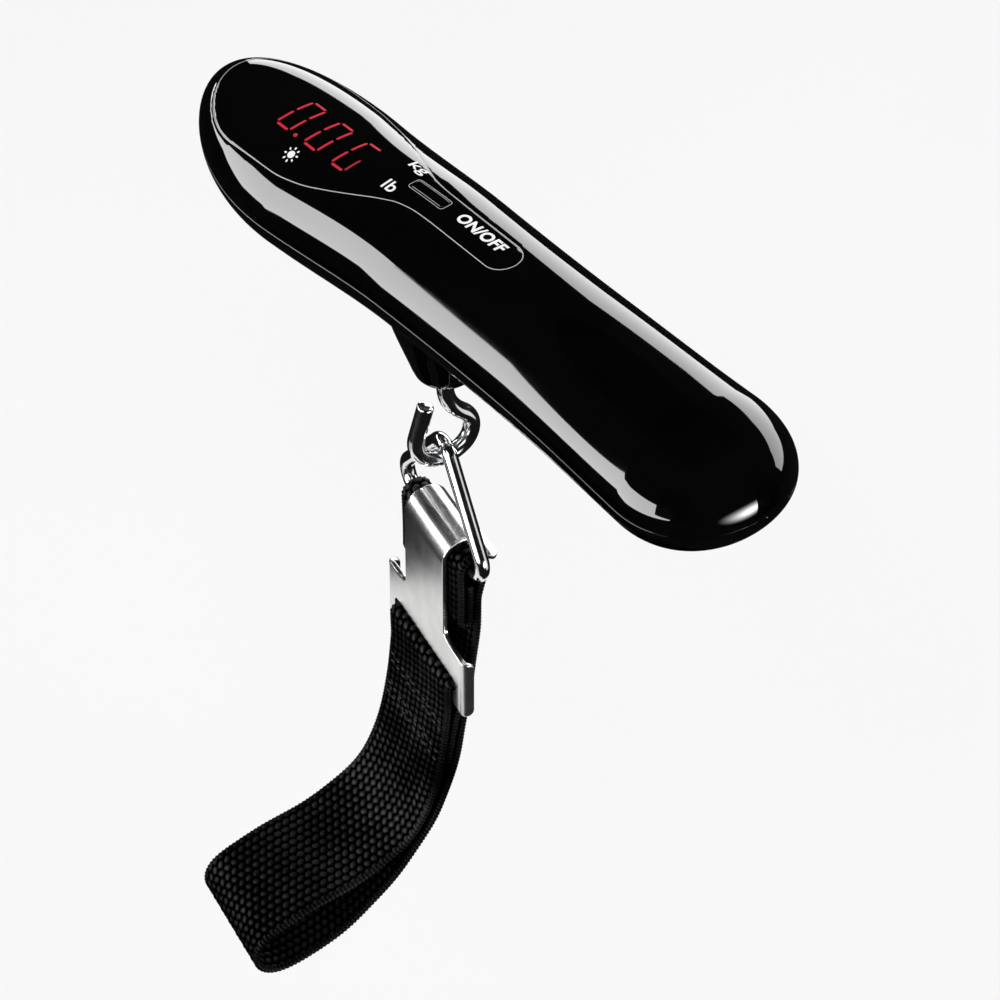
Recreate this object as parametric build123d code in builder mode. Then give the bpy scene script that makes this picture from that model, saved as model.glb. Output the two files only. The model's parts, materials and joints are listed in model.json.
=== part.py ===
"""Digital luggage scale: a waisted glossy housing with a lit display, hung over a swivelling
hook, a wire ring, a spring-steel clasp and a looped webbing strap.  Millimetres.

Frame: X runs along the housing from the display end (-) to the handle end (+), +Z is up and
the display faces it.  The origin is the middle of the housing, on the seam of its two shells.
"""
from build123d import *
import math
import os

# ---------------------------------------------------------------- driving dimensions
LENGTH = 160.0               # housing, end to end
HALF_LENGTH = LENGTH / 2
WAIST_HALF_WIDTH = 17.1      # narrowest half width of the housing
WAIST_X = 12.0               # where the waist lies
WAIST_CURVE = 0.0006         # how fast the sides widen towards the display ...
HANDLE_CURVE = 0.00075       # ... and towards the handle
SIDE_EASE = 2.4e-9           # the widening eases off near both ends
CROWN = 14.2                 # upper shell height above the seam
KEEL = 12.1                  # lower shell depth below the seam
DISPLAY_CAP = 35.6           # length of the rounded display end
HANDLE_CAP = 20.9            # length of the rounded handle end
SEAM_START_X = -10.0         # the seam sinks a little under the display, and rises again at its tip
SEAM_RUN = 70.0
SEAM_CURVE = (-28.8, 45.1, -12.1)
TAIL_START_X = 25.0          # it does the same, less, towards the handle end
TAIL_RUN = 55.0
TAIL_CURVE = (-3.75, -0.9, 5.75)
WALL = 1.8

PANEL_DEPTH = 1.0            # display panel, let into the upper shell
PANEL_HALF_WIDTH = 13.9
PANEL_TIP_X = -75.5
PANEL_WIDE_X = -50.0         # the window is full width from its tip to here
TONGUE_HALF_WIDTH = 4.1
TONGUE_START_X = -16.0
TONGUE_END_X = 10.0

KEY_X, KEY_Y = -16.2, 1.0    # power key, let into the panel
KEY_LENGTH, KEY_WIDTH = 9.3, 2.4
KEY_GAP = 0.3
KEY_PROUD = 0.25
KEY_TRAVEL = 0.4

PCB_TOP = 5.0
PCB_THICKNESS = 1.6
PCB_HALF_WIDTH = 10.6
PCB_SCREWS = ((-59.3, 0.0), (-19.2, 8.6), (-19.2, -8.6))
PCB_POST_RADIUS = 1.7

BEAM_BOTTOM, BEAM_TOP = -6.0, 2.0        # load cell
BEAM_START_X, BEAM_END_X = -50.0, -4.0
BEAM_HALF_WIDTH = 6.0
GAUGE_X = -27.0
BEAM_SCREW_X = (-46.0, -40.0)
FRAME_TOP = -7.5
FRAME_THICKNESS = 1.5
FRAME_HALF_WIDTH = 7.0

CASE_SCREWS = ((-68.0, 0.0), (7.0, -9.5), (7.0, 9.5), (71.0, 0.0))
CASE_POST_RADIUS = 2.6
CASE_SCREW_RADIUS = 1.1
CASE_HEAD_RADIUS = 2.0

CELL_RADIUS = 5.15           # two AAA cells side by side
CELL_LENGTH = 43.3
NUB_RADIUS, NUB_LENGTH = 1.9, 1.2
CELL_START_X = 17.0
CELL_Y = 5.5
CELL_Z = -3.0
HOLDER_START_X, HOLDER_END_X = 13.4, 65.0
HOLDER_HALF_WIDTH = 12.0
HOLDER_WALL = 1.2
DOOR_START_X, DOOR_END_X = 12.3, 65.7
DOOR_HALF_WIDTH = 10.9
DOOR_GAP = 0.3

HOOK_X = -11.0               # swivel axis of the hook
HOOK_WIRE = 1.8              # wire radius
NECK_BOTTOM = -28.8
BUSH_RADIUS = 3.9
BUSH_TOP = -20.5
LOOP_RADIUS = 6.35           # centreline of the hook's loop
LOOP_B, LOOP_Z = -0.4, -46.4
SHANK_BEND = 11.0
HOOK_END_DEG = 165.0
HOOK_TIP = 8.4               # straight stretch up to the tip

SWIVEL_DEG = -13.0           # the hook, ring and strap hang turned by this much
RING_WIRE = 1.6
RING_GAP = 0.3
BAR_Z = -74.3                # straight lower bar of the ring
RING_CORNER = 4.0
RING_CORNER_A = 13.0

WEB_THICKNESS = 1.6
WEB_WIDTH = 27.0
WEB_WRAP = 2.7               # centreline radius where the webbing wraps the bar

PLATE = 1.2                  # clasp sheet
ROLL_RADIUS = 5.0            # outside of the roll that hooks over the bar
CLASP_HALF_WIDTH = 8.8
SHOULDER_HALF_WIDTH = 17.8
SHOULDER_TOP, SHOULDER_FULL = -20.6, -24.6     # below the bar
SLOT_TOP, SLOT_BOTTOM = -31.4, -34.8
CLASP_BOTTOM = -38.8
FLANGE = 1.6                 # how far the clasp's sides turn back
SLOT_HALF_WIDTH = 14.2

SWIVEL = math.radians(SWIVEL_DEG)
ALONG = (math.cos(SWIVEL), math.sin(SWIVEL), 0)        # across the strap, along the ring's bar
OUTWARD = (-math.sin(SWIVEL), math.cos(SWIVEL), 0)     # out through the strap, away from its face
HANG = (HOOK_X, 0, 0)
SIDE = Plane(origin=HANG, x_dir=OUTWARD, z_dir=ALONG)  # side view of the hanging pieces

os.makedirs("parts", exist_ok=True)


def save(builder, name):
    """Label one finished piece and write it out."""
    builder.part.label = name
    export_step(builder.part, f"parts/{name}.step")


# ---------------------------------------------------------------- the housing's form
def half_width(x):
    reach = x - WAIST_X
    reach -= SIDE_EASE * reach ** 5
    return WAIST_HALF_WIDTH + (WAIST_CURVE if reach < 0 else HANDLE_CURVE) * reach ** 2


def seam(x):
    """Height of the seam: level at the waist, with a shallow dip before each end."""
    t = max(0.0, (SEAM_START_X - x) / SEAM_RUN)
    s = max(0.0, (x - TAIL_START_X) / TAIL_RUN)
    display = t * t * (SEAM_CURVE[0] + SEAM_CURVE[1] * t + SEAM_CURVE[2] * t * t)
    handle = s * s * (TAIL_CURVE[0] + TAIL_CURVE[1] * s + TAIL_CURVE[2] * s * s)
    return display + handle


def stations(inset):
    """Places along X with the share of the full section that each has."""
    cap_angles = (86, 81, 74, 64, 51, 36, 18, 0)
    display_x = DISPLAY_CAP - HALF_LENGTH
    handle_x = HALF_LENGTH - HANDLE_CAP
    places = []
    for angle in cap_angles:
        turn = math.radians(angle)
        places.append((display_x - (DISPLAY_CAP - inset) * math.sin(turn), math.cos(turn)))
    middle_steps = 8
    for step in range(1, middle_steps):
        places.append((display_x + (handle_x - display_x) * step / middle_steps, 1.0))
    for angle in reversed(cap_angles):
        turn = math.radians(angle)
        places.append((handle_x + (HANDLE_CAP - inset) * math.sin(turn), math.cos(turn)))
    return places


def form(inset, upper=True, lower=True):
    """The housing's solid form, set in evenly from its skin; one or both halves of it."""
    with BuildPart() as body:
        for x, share in stations(inset):
            across = (half_width(x) - inset) * share
            with BuildSketch(Plane(origin=(x, 0, seam(x)), x_dir=(0, 1, 0), z_dir=(1, 0, 0))):
                with BuildLine():
                    if upper:
                        EllipticalCenterArc((0, 0), across, (CROWN - inset) * share,
                                            start_angle=0, arc_size=180)
                    else:
                        Line((across, 0), (-across, 0))
                    if lower:
                        EllipticalCenterArc((0, 0), across, (KEEL - inset) * share,
                                            start_angle=180, arc_size=180)
                    else:
                        Line((-across, 0), (across, 0))
                make_face()
        loft()
    return body.part


def panel_outline(grow):
    """Plan of the display panel: a wide rounded window that narrows into a tongue."""
    wide = PANEL_HALF_WIDTH + grow
    narrow = TONGUE_HALF_WIDTH + grow
    tip = PANEL_TIP_X - grow
    tongue_arc_x = TONGUE_END_X - TONGUE_HALF_WIDTH
    with BuildSketch() as plan:
        with BuildLine():
            edge = Spline(
                (tip, 0), (PANEL_WIDE_X, wide), (TONGUE_START_X, narrow),
                tangents=((0, 1), (1, 0), (1, 0)),
            )
            Line(edge @ 1, (tongue_arc_x, narrow))
            RadiusArc((tongue_arc_x, narrow), (tongue_arc_x, -narrow), narrow)
            Line((tongue_arc_x, -narrow), (TONGUE_START_X, -narrow))
            Spline(
                (TONGUE_START_X, -narrow), (PANEL_WIDE_X, -wide), (tip, 0),
                tangents=((-1, 0), (-1, 0), (0, 1)),
            )
        make_face()
    return plan.sketch


OUTER_UPPER = form(0, lower=False)
OUTER_LOWER = form(0, upper=False)
CAVITY = form(WALL)
UNDER_PANEL = form(PANEL_DEPTH)


# ---------------------------------------------------------------- shells and covers
def make_top_shell():
    with BuildPart() as top_shell:
        add(OUTER_UPPER)
        add(CAVITY, mode=Mode.SUBTRACT)
        # screw posts, down to the seam
        for x, y in CASE_SCREWS:
            with BuildSketch(Plane.XY.offset(seam(x))):
                with Locations((x, y)):
                    Circle(CASE_POST_RADIUS)
            extrude(amount=CROWN - seam(x))
        add(OUTER_UPPER, mode=Mode.INTERSECT)
        # seat of the display panel
        with BuildPart(mode=Mode.PRIVATE) as seat:
            with BuildSketch():
                add(panel_outline(0.05))
            extrude(amount=CROWN + 2)
            add(UNDER_PANEL, mode=Mode.SUBTRACT)
        add(seat.part, mode=Mode.SUBTRACT)
        # window over the digits, and the key's slot
        with BuildSketch(Plane.XY.offset(4)):
            with Locations((-44, -1.5)):
                RectangleRounded(21, 11, 1)
            with Locations((KEY_X, KEY_Y)):
                RectangleRounded(KEY_LENGTH + 2 * KEY_GAP, KEY_WIDTH + 2 * KEY_GAP, 0.5)
        extrude(amount=CROWN, mode=Mode.SUBTRACT)
        # pilot holes
        for x, y in CASE_SCREWS:
            with BuildSketch(Plane.XY.offset(seam(x) - 0.5)):
                with Locations((x, y)):
                    Circle(CASE_SCREW_RADIUS)
            extrude(amount=6.5, mode=Mode.SUBTRACT)
    save(top_shell, "top_shell")


def make_display_panel():
    with BuildPart() as display_panel:
        with BuildSketch():
            add(panel_outline(0))
        extrude(amount=CROWN + 2)
        add(OUTER_UPPER, mode=Mode.INTERSECT)
        add(UNDER_PANEL, mode=Mode.SUBTRACT)
        with BuildSketch():
            with Locations((KEY_X, KEY_Y)):
                RectangleRounded(KEY_LENGTH + 2 * KEY_GAP, KEY_WIDTH + 2 * KEY_GAP, 0.5)
        extrude(amount=CROWN + 2, mode=Mode.SUBTRACT)
    save(display_panel, "display_panel")


def make_bottom_shell():
    with BuildPart() as bottom_shell:
        add(OUTER_LOWER)
        # neck that carries the hook
        with BuildSketch(Plane.XZ):
            with BuildLine():
                Polyline(
                    (HOOK_X, 0), (HOOK_X + 12.6, -6), (HOOK_X + 11.2, -12.6),
                    (HOOK_X + 9.4, -18.6), (HOOK_X + 6.5, -27.2),
                )
                RadiusArc((HOOK_X + 6.5, -27.2), (HOOK_X + 4.9, NECK_BOTTOM), 1.7)
                Polyline((HOOK_X + 4.9, NECK_BOTTOM), (HOOK_X, NECK_BOTTOM), (HOOK_X, 0))
            make_face()
        revolve(axis=Axis((HOOK_X, 0, 0), (0, 0, 1)))
        with BuildPart(mode=Mode.PRIVATE) as inside:
            add(CAVITY)
            with Locations((HOOK_X, 0, -13.5)):
                Cylinder(8.6, 9)
            with Locations((HOOK_X, 0, (BUSH_TOP - 18) / 2)):
                Cylinder(6.6, -18 - BUSH_TOP)
        add(inside.part, mode=Mode.SUBTRACT)
        with Locations((HOOK_X, 0, -24)):
            Cylinder(BUSH_RADIUS, 16, mode=Mode.SUBTRACT)
        # posts for the case screws and the circuit board, and ribs under the load frame
        with BuildPart(mode=Mode.PRIVATE) as posts:
            for x, y in CASE_SCREWS:
                with BuildSketch(Plane.XY.offset(-KEEL - 3)):
                    with Locations((x, y)):
                        Circle(CASE_POST_RADIUS)
                extrude(amount=KEEL + 3 + seam(x))
            for x, y in PCB_SCREWS:
                with BuildSketch(Plane.XY.offset(-KEEL - 3)):
                    with Locations((x, y)):
                        Circle(PCB_POST_RADIUS)
                extrude(amount=KEEL + 3)
            for x in (-44, -34):
                with BuildSketch(Plane.XY.offset(-KEEL - 3)):
                    with Locations((x, 0)):
                        Rectangle(1.4, 2 * FRAME_HALF_WIDTH)
                extrude(amount=KEEL + 3 + FRAME_TOP - FRAME_THICKNESS)
            # ledges that the battery holder stands on
            with BuildSketch(Plane.XY.offset(-KEEL - 3)):
                with Locations((39, 12.3), (39, -12.3)):
                    Rectangle(48, 1.6)
            extrude(amount=KEEL + 3 - 6.0)
            add(OUTER_LOWER, mode=Mode.INTERSECT)
        add(posts.part)
        for x, y in PCB_SCREWS:
            height = PCB_TOP - PCB_THICKNESS
            with BuildSketch(Plane.XY.offset(seam(x) - 1)):
                with Locations((x, y)):
                    Circle(PCB_POST_RADIUS)
            extrude(amount=height - seam(x) + 1)
            with BuildSketch(Plane.XY.offset(height)):
                with Locations((x, y)):
                    Circle(0.8)
            extrude(amount=-5, mode=Mode.SUBTRACT)
        for x, y in CASE_SCREWS:
            with BuildSketch(Plane.XY.offset(-KEEL - 4)):
                with Locations((x, y)):
                    Circle(CASE_HEAD_RADIUS + 0.2)
            extrude(amount=KEEL + 4 - 4.5 + seam(x), mode=Mode.SUBTRACT)
            with BuildSketch(Plane.XY.offset(-KEEL - 4)):
                with Locations((x, y)):
                    Circle(CASE_SCREW_RADIUS)
            extrude(amount=KEEL + 8, mode=Mode.SUBTRACT)
        # battery opening
        with BuildSketch(Plane.XY.offset(-KEEL - 1)):
            with Locations(((DOOR_START_X + DOOR_END_X) / 2, 0)):
                RectangleRounded(DOOR_END_X - DOOR_START_X + 2 * DOOR_GAP,
                                 2 * (DOOR_HALF_WIDTH + DOOR_GAP), 3)
        extrude(amount=KEEL - 4, mode=Mode.SUBTRACT)
    save(bottom_shell, "bottom_shell")


def make_battery_door():
    middle = (DOOR_START_X + DOOR_END_X) / 2
    with BuildPart() as battery_door:
        with BuildSketch(Plane.XY.offset(-KEEL - 1)):
            with Locations((middle, 0)):
                RectangleRounded(DOOR_END_X - DOOR_START_X, 2 * DOOR_HALF_WIDTH, 2.7)
        extrude(amount=KEEL - 4)
        add(OUTER_LOWER, mode=Mode.INTERSECT)
        add(CAVITY, mode=Mode.SUBTRACT)
        # thumb grip: three grooves by the handle end
        for step in range(3):
            with Locations((DOOR_END_X - 6 - 2.4 * step, 0, -KEEL)):
                Box(1.0, 9, 1.0, mode=Mode.SUBTRACT)
    save(battery_door, "battery_door")


# ---------------------------------------------------------------- electronics
def make_electronics():
    with BuildPart() as pcb:
        with BuildSketch(Plane.XY.offset(PCB_TOP - PCB_THICKNESS)):
            with Locations((-36.0, 0)):
                RectangleRounded(40.4, 2 * PCB_HALF_WIDTH, 2)
            with Locations((-58.5, 0)):
                RectangleRounded(7, 8, 1.5)
            for x, y in PCB_SCREWS:
                with Locations((x, y)):
                    Circle(0.9, mode=Mode.SUBTRACT)
        extrude(amount=PCB_THICKNESS)
    save(pcb, "circuit_board")

    with BuildPart() as pcb_screws:
        with BuildSketch(Plane.XY.offset(PCB_TOP)):
            with Locations(*PCB_SCREWS):
                Circle(1.5)
        extrude(amount=1.1)
        with BuildSketch(Plane.XY.offset(PCB_TOP)):
            with Locations(*PCB_SCREWS):
                Circle(0.8)
        extrude(amount=-PCB_THICKNESS - 4)
    save(pcb_screws, "circuit_board_screws")

    with BuildPart() as led_display:
        with BuildSketch(Plane.XY.offset(PCB_TOP)):
            with Locations((-44, -1.0)):
                RectangleRounded(21, 12, 0.6)
        extrude(amount=2.8)
        # three figures of seven segments, sunk into the face
        for digit in range(3):
            digit_x = -51.0 + 7 * digit
            with BuildSketch(Plane.XY.offset(PCB_TOP + 2.8)):
                with Locations((digit_x, 2.2), (digit_x, -1.0), (digit_x, -4.2)):
                    Rectangle(2.6, 0.8)
                with Locations((digit_x - 1.9, 0.6), (digit_x + 1.9, 0.6),
                               (digit_x - 1.9, -2.6), (digit_x + 1.9, -2.6)):
                    Rectangle(0.8, 2.2)
            extrude(amount=-0.5, mode=Mode.SUBTRACT)
    save(led_display, "led_display")

    with BuildPart() as led_pins:
        with BuildSketch(Plane.XY.offset(PCB_TOP - PCB_THICKNESS - 1.2)):
            with Locations((-44, -1.0)):
                with GridLocations(3.6, 10.0, 6, 2):
                    Circle(0.25)
        extrude(amount=1.2)
    save(led_pins, "led_display_pins")

    with BuildPart() as controller:
        with BuildSketch(Plane.XY.offset(PCB_TOP)):
            with Locations((-28.0, -5.2)):
                Rectangle(5.0, 5.0)
        extrude(amount=1.2)
        chamfer(controller.edges().group_by(Axis.Z)[-1], 0.2)
    save(controller, "controller_chip")

    with BuildPart() as switch_body:
        with BuildSketch(Plane.XY.offset(PCB_TOP)):
            with Locations((KEY_X - 3.4, KEY_Y)):
                RectangleRounded(5.6, 5.6, 0.5)
        extrude(amount=3.4)
        with BuildSketch(Plane.XY.offset(PCB_TOP + 3.4)):
            with Locations((KEY_X - 3.4, KEY_Y)):
                Circle(1.65)
        extrude(amount=-1.8, mode=Mode.SUBTRACT)
    save(switch_body, "switch_body")

    with BuildPart() as switch_plunger:
        with BuildSketch(Plane.XY.offset(PCB_TOP + 2.2)):
            with Locations((KEY_X - 3.4, KEY_Y)):
                Circle(1.6)
        extrude(amount=2.2)
    save(switch_plunger, "switch_plunger")


def make_power_key():
    key_top = CROWN + KEY_PROUD
    plunger_top = PCB_TOP + 4.4
    with BuildPart() as power_key:
        with BuildSketch(Plane.XY.offset(11.0)):
            with Locations((KEY_X, KEY_Y)):
                RectangleRounded(KEY_LENGTH, KEY_WIDTH, 0.4)
        extrude(amount=key_top - 11.0)
        fillet(power_key.edges().group_by(Axis.Z)[-1], 0.3)
        with BuildSketch(Plane.XY.offset(10.4)):
            with Locations((KEY_X, KEY_Y)):
                RectangleRounded(KEY_LENGTH + 1.6, KEY_WIDTH + 1.6, 0.5)
        extrude(amount=0.8)
        with BuildSketch(Plane.XY.offset(plunger_top)):
            with Locations((KEY_X - 3.4, KEY_Y)):
                Circle(1.2)
        extrude(amount=1.2)
    save(power_key, "power_key")


# ---------------------------------------------------------------- load cell
def make_load_cell():
    middle = (BEAM_START_X + BEAM_END_X) / 2
    height = BEAM_TOP - BEAM_BOTTOM
    with BuildPart() as beam:
        with Locations((middle, 0, BEAM_BOTTOM + height / 2)):
            Box(BEAM_END_X - BEAM_START_X, 2 * BEAM_HALF_WIDTH, height)
        with BuildSketch(Plane.XZ.offset(-BEAM_HALF_WIDTH - 1)):
            with Locations((GAUGE_X - 3.5, BEAM_BOTTOM + height / 2),
                           (GAUGE_X + 3.5, BEAM_BOTTOM + height / 2)):
                Circle(3.0)
            with Locations((GAUGE_X, BEAM_BOTTOM + height / 2)):
                Rectangle(7, 2)
        extrude(amount=2 * BEAM_HALF_WIDTH + 2, mode=Mode.SUBTRACT)
        with BuildSketch(Plane.XY.offset(BEAM_BOTTOM)):
            with Locations((HOOK_X, 0)):
                Circle(HOOK_WIRE + 0.3)
            for x in BEAM_SCREW_X:
                with Locations((x, 0)):
                    Circle(1.5)
        extrude(amount=height, mode=Mode.SUBTRACT)
    save(beam, "load_cell_beam")

    with BuildPart() as gauges:
        for z, direction in ((BEAM_TOP, 1), (BEAM_BOTTOM, -1)):
            with BuildSketch(Plane.XY.offset(z)):
                with GridLocations(7, 0, 2, 1):
                    with Locations((GAUGE_X, 0)):
                        RectangleRounded(5, 4, 0.4)
            extrude(amount=0.15 * direction)
    save(gauges, "strain_gauges")

    with BuildPart() as leads:
        with BuildSketch(Plane.XY.offset(BEAM_TOP + 0.15)):
            with Locations((GAUGE_X, 0)):
                with GridLocations(7, 2.4, 2, 2):
                    Circle(0.3)
        extrude(amount=PCB_TOP - PCB_THICKNESS - BEAM_TOP - 0.15)
    save(leads, "gauge_leads")

    with BuildPart() as load_frame:
        with BuildSketch(Plane.XY.offset(FRAME_TOP - FRAME_THICKNESS)):
            with Locations((-41.0, 0)):
                RectangleRounded(21, 2 * FRAME_HALF_WIDTH, 1.5)
        extrude(amount=FRAME_THICKNESS)
        with BuildSketch(Plane.XY.offset(FRAME_TOP)):
            with Locations((-43.5, 0)):
                RectangleRounded(12, 2 * BEAM_HALF_WIDTH, 0.8)
        extrude(amount=BEAM_BOTTOM - FRAME_TOP)
        with BuildSketch(Plane.XY.offset(BEAM_BOTTOM)):
            for x in BEAM_SCREW_X:
                with Locations((x, 0)):
                    Circle(1.5)
        extrude(amount=FRAME_TOP - FRAME_THICKNESS - BEAM_BOTTOM, mode=Mode.SUBTRACT)
    save(load_frame, "load_frame")

    with BuildPart() as beam_screws:
        for x in BEAM_SCREW_X:
            with BuildSketch(Plane.XY.offset(BEAM_TOP)):
                with Locations((x, 0)):
                    Circle(2.6)
            extrude(amount=1.1)
            with BuildSketch(Plane.XY.offset(BEAM_TOP)):
                with Locations((x, 0)):
                    Circle(1.5)
            extrude(amount=FRAME_TOP - FRAME_THICKNESS - BEAM_TOP)
    save(beam_screws, "load_cell_screws")


def make_case_screws():
    with BuildPart() as case_screws:
        for x, y in CASE_SCREWS:
            seat = seam(x) - 4.5
            with BuildSketch(Plane.XY.offset(seat)):
                with Locations((x, y)):
                    Circle(CASE_HEAD_RADIUS)
            extrude(amount=-1.5)
            with BuildSketch(Plane.XY.offset(seat)):
                with Locations((x, y)):
                    Circle(CASE_SCREW_RADIUS)
            extrude(amount=10)
            with BuildSketch(Plane.XY.offset(seat - 1.5)):
                with Locations((x, y)):
                    Rectangle(2.4, 0.6)
                    Rectangle(0.6, 2.4)
            extrude(amount=0.8, mode=Mode.SUBTRACT)
    save(case_screws, "case_screws")


# ---------------------------------------------------------------- batteries
def make_battery_pack():
    inner_start = HOLDER_START_X + HOLDER_WALL + 0.2
    inner_end = HOLDER_END_X - HOLDER_WALL - 0.2
    middle = (HOLDER_START_X + HOLDER_END_X) / 2
    cell_end = CELL_START_X + CELL_LENGTH + NUB_LENGTH
    with BuildPart() as holder:
        with BuildSketch(Plane.XY.offset(-6.0)):
            with Locations((middle, 0)):
                RectangleRounded(HOLDER_END_X - HOLDER_START_X, 2 * HOLDER_HALF_WIDTH, 1.5)
        extrude(amount=9.8)
        with BuildSketch(Plane.XY.offset(-6.0)):
            with Locations((middle, 0)):
                Rectangle(inner_end - inner_start, 2 * (HOLDER_HALF_WIDTH - 1.1))
        extrude(amount=8.5, mode=Mode.SUBTRACT)
    save(holder, "battery_holder")

    for index, side in ((1, -1), (2, 1)):
        with BuildPart() as cell:
            start = CELL_START_X if side > 0 else CELL_START_X + NUB_LENGTH
            with BuildSketch(Plane.YZ.offset(start)):
                with Locations((side * CELL_Y, CELL_Z)):
                    Circle(CELL_RADIUS)
            extrude(amount=CELL_LENGTH)
            fillet(cell.edges().filter_by(GeomType.CIRCLE), 0.5)
            nub_start = start + CELL_LENGTH if side > 0 else CELL_START_X
            with BuildSketch(Plane.YZ.offset(nub_start)):
                with Locations((side * CELL_Y, CELL_Z)):
                    Circle(NUB_RADIUS)
            extrude(amount=NUB_LENGTH)
        save(cell, f"aaa_cell_{index}")

    with BuildPart() as contacts:
        for side in (-1, 1):
            with BuildSketch(Plane.YZ.offset(inner_start)):
                with Locations((side * CELL_Y, CELL_Z)):
                    RectangleRounded(7.5, 8, 0.8)
            extrude(amount=0.4)
            with BuildSketch(Plane.YZ.offset(inner_start + 0.4)):
                with Locations((side * CELL_Y, CELL_Z)):
                    Circle(2.4)
            extrude(amount=CELL_START_X - inner_start - 0.4, taper=15)
    save(contacts, "cell_contacts")

    with BuildPart() as bridge:
        with BuildSketch(Plane.YZ.offset(inner_end - 0.4)):
            with Locations((0, CELL_Z)):
                RectangleRounded(2 * CELL_Y + 8, 8, 0.8)
        extrude(amount=0.4)
        for side in (-1, 1):
            with BuildSketch(Plane.YZ.offset(inner_end - 0.4)):
                with Locations((side * CELL_Y, CELL_Z)):
                    Circle(2.4)
            extrude(amount=-(inner_end - 0.4 - cell_end), taper=15)
    save(bridge, "contact_bridge")

    with BuildPart() as leads:
        for side in (-1, 1):
            with BuildLine() as route:
                FilletPolyline(
                    (HOLDER_START_X, side * 5.0, 0.5), (10.6, side * 5.0, 0.5),
                    (4.0, side * 5.4, 5.0), (-5.5, side * 6.4, 7.6),
                    (-17.2, side * 6.4, 7.8), (-17.2, side * 6.4, PCB_TOP),
                    radius=1.1,
                )
            with BuildSketch(Plane(route.line @ 0, z_dir=route.line % 0)):
                Circle(0.5)
            sweep(path=route.line)
    save(leads, "battery_leads")


# ---------------------------------------------------------------- hook, ring, clasp and strap
def make_bush():
    with BuildPart() as bush:
        with Locations((HOOK_X, 0, (NECK_BOTTOM + BUSH_TOP) / 2)):
            Cylinder(BUSH_RADIUS, BUSH_TOP - NECK_BOTTOM)
        with Locations((HOOK_X, 0, BUSH_TOP)):
            Cylinder(5.2, 1.2, align=(Align.CENTER, Align.CENTER, Align.MIN))
        with Locations((HOOK_X, 0, NECK_BOTTOM)):
            Cylinder(HOOK_WIRE + 0.08, 30, mode=Mode.SUBTRACT)
    save(bush, "neck_bush")


def make_hook():
    shank_end_z = LOOP_Z + math.sqrt((SHANK_BEND + LOOP_RADIUS) ** 2 - (SHANK_BEND - LOOP_B) ** 2)
    lean = math.atan2(shank_end_z - LOOP_Z, SHANK_BEND - LOOP_B)
    start_deg = math.degrees(lean)
    tip_turn = math.radians(HOOK_END_DEG)
    loop_end = (LOOP_B + LOOP_RADIUS * math.cos(tip_turn), LOOP_Z + LOOP_RADIUS * math.sin(tip_turn))
    tip = (loop_end[0] + HOOK_TIP * math.sin(tip_turn), loop_end[1] - HOOK_TIP * math.cos(tip_turn))
    with BuildPart() as hook:
        with BuildLine(SIDE) as wire:
            Line((0, BEAM_TOP + 4.6), (0, shank_end_z))
            CenterArc((SHANK_BEND, shank_end_z), SHANK_BEND, 180, start_deg)
            CenterArc((LOOP_B, LOOP_Z), LOOP_RADIUS, start_deg, HOOK_END_DEG - 360 - start_deg)
            Line(loop_end, tip)
        with BuildSketch(Plane(origin=(HOOK_X, 0, BEAM_TOP + 4.6), z_dir=(0, 0, -1))):
            Circle(HOOK_WIRE)
        sweep(path=wire.wires()[0])
        tip_face = hook.faces().filter_by(GeomType.PLANE).sort_by(Axis.Z)[0]
        chamfer(tip_face.edges(), 0.35)
    save(hook, "hook")

    with BuildPart() as washer:
        with Locations((HOOK_X, 0, BEAM_TOP + 0.45)):
            Cylinder(4.4, 0.7)
            Cylinder(HOOK_WIRE, 0.7, mode=Mode.SUBTRACT)
    save(washer, "hook_washer")

    with BuildPart() as nut:
        with BuildSketch(Plane.XY.offset(BEAM_TOP + 0.8)):
            with Locations((HOOK_X, 0)):
                RegularPolygon(3.5, 6, major_radius=False)
                Circle(HOOK_WIRE, mode=Mode.SUBTRACT)
        extrude(amount=3.0)
    save(nut, "hook_nut")


def make_ring():
    apex_radius = HOOK_WIRE + RING_WIRE + RING_GAP
    apex_z = LOOP_Z - LOOP_RADIUS
    corner_z = BAR_Z + RING_CORNER
    front = Plane(origin=HANG, x_dir=ALONG, z_dir=tuple(-v for v in OUTWARD)).offset(-LOOP_B)
    rise = math.atan2(apex_z - corner_z, RING_CORNER_A)
    gap = math.hypot(apex_z - corner_z, RING_CORNER_A)
    leg_deg = 90 - math.degrees(rise) - math.degrees(math.asin((RING_CORNER - apex_radius) / gap))
    with BuildPart() as ring:
        with BuildLine(front) as wire:
            right_arc = CenterArc((RING_CORNER_A, corner_z), RING_CORNER, -90, 90 + leg_deg)
            top_arc = CenterArc((0, apex_z), apex_radius, leg_deg, 180 - 2 * leg_deg)
            left_arc = CenterArc((-RING_CORNER_A, corner_z), RING_CORNER, 180 - leg_deg, 90 + leg_deg)
            Line(right_arc @ 1, top_arc @ 0)
            Line(top_arc @ 1, left_arc @ 0)
            Line(left_arc @ 1, right_arc @ 0)
        bar_middle = front.from_local_coords((0, BAR_Z, 0))
        with BuildSketch(Plane(origin=bar_middle, z_dir=ALONG)):
            Circle(RING_WIRE)
        sweep(path=wire.wires()[0])
    save(ring, "strap_ring")


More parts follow.
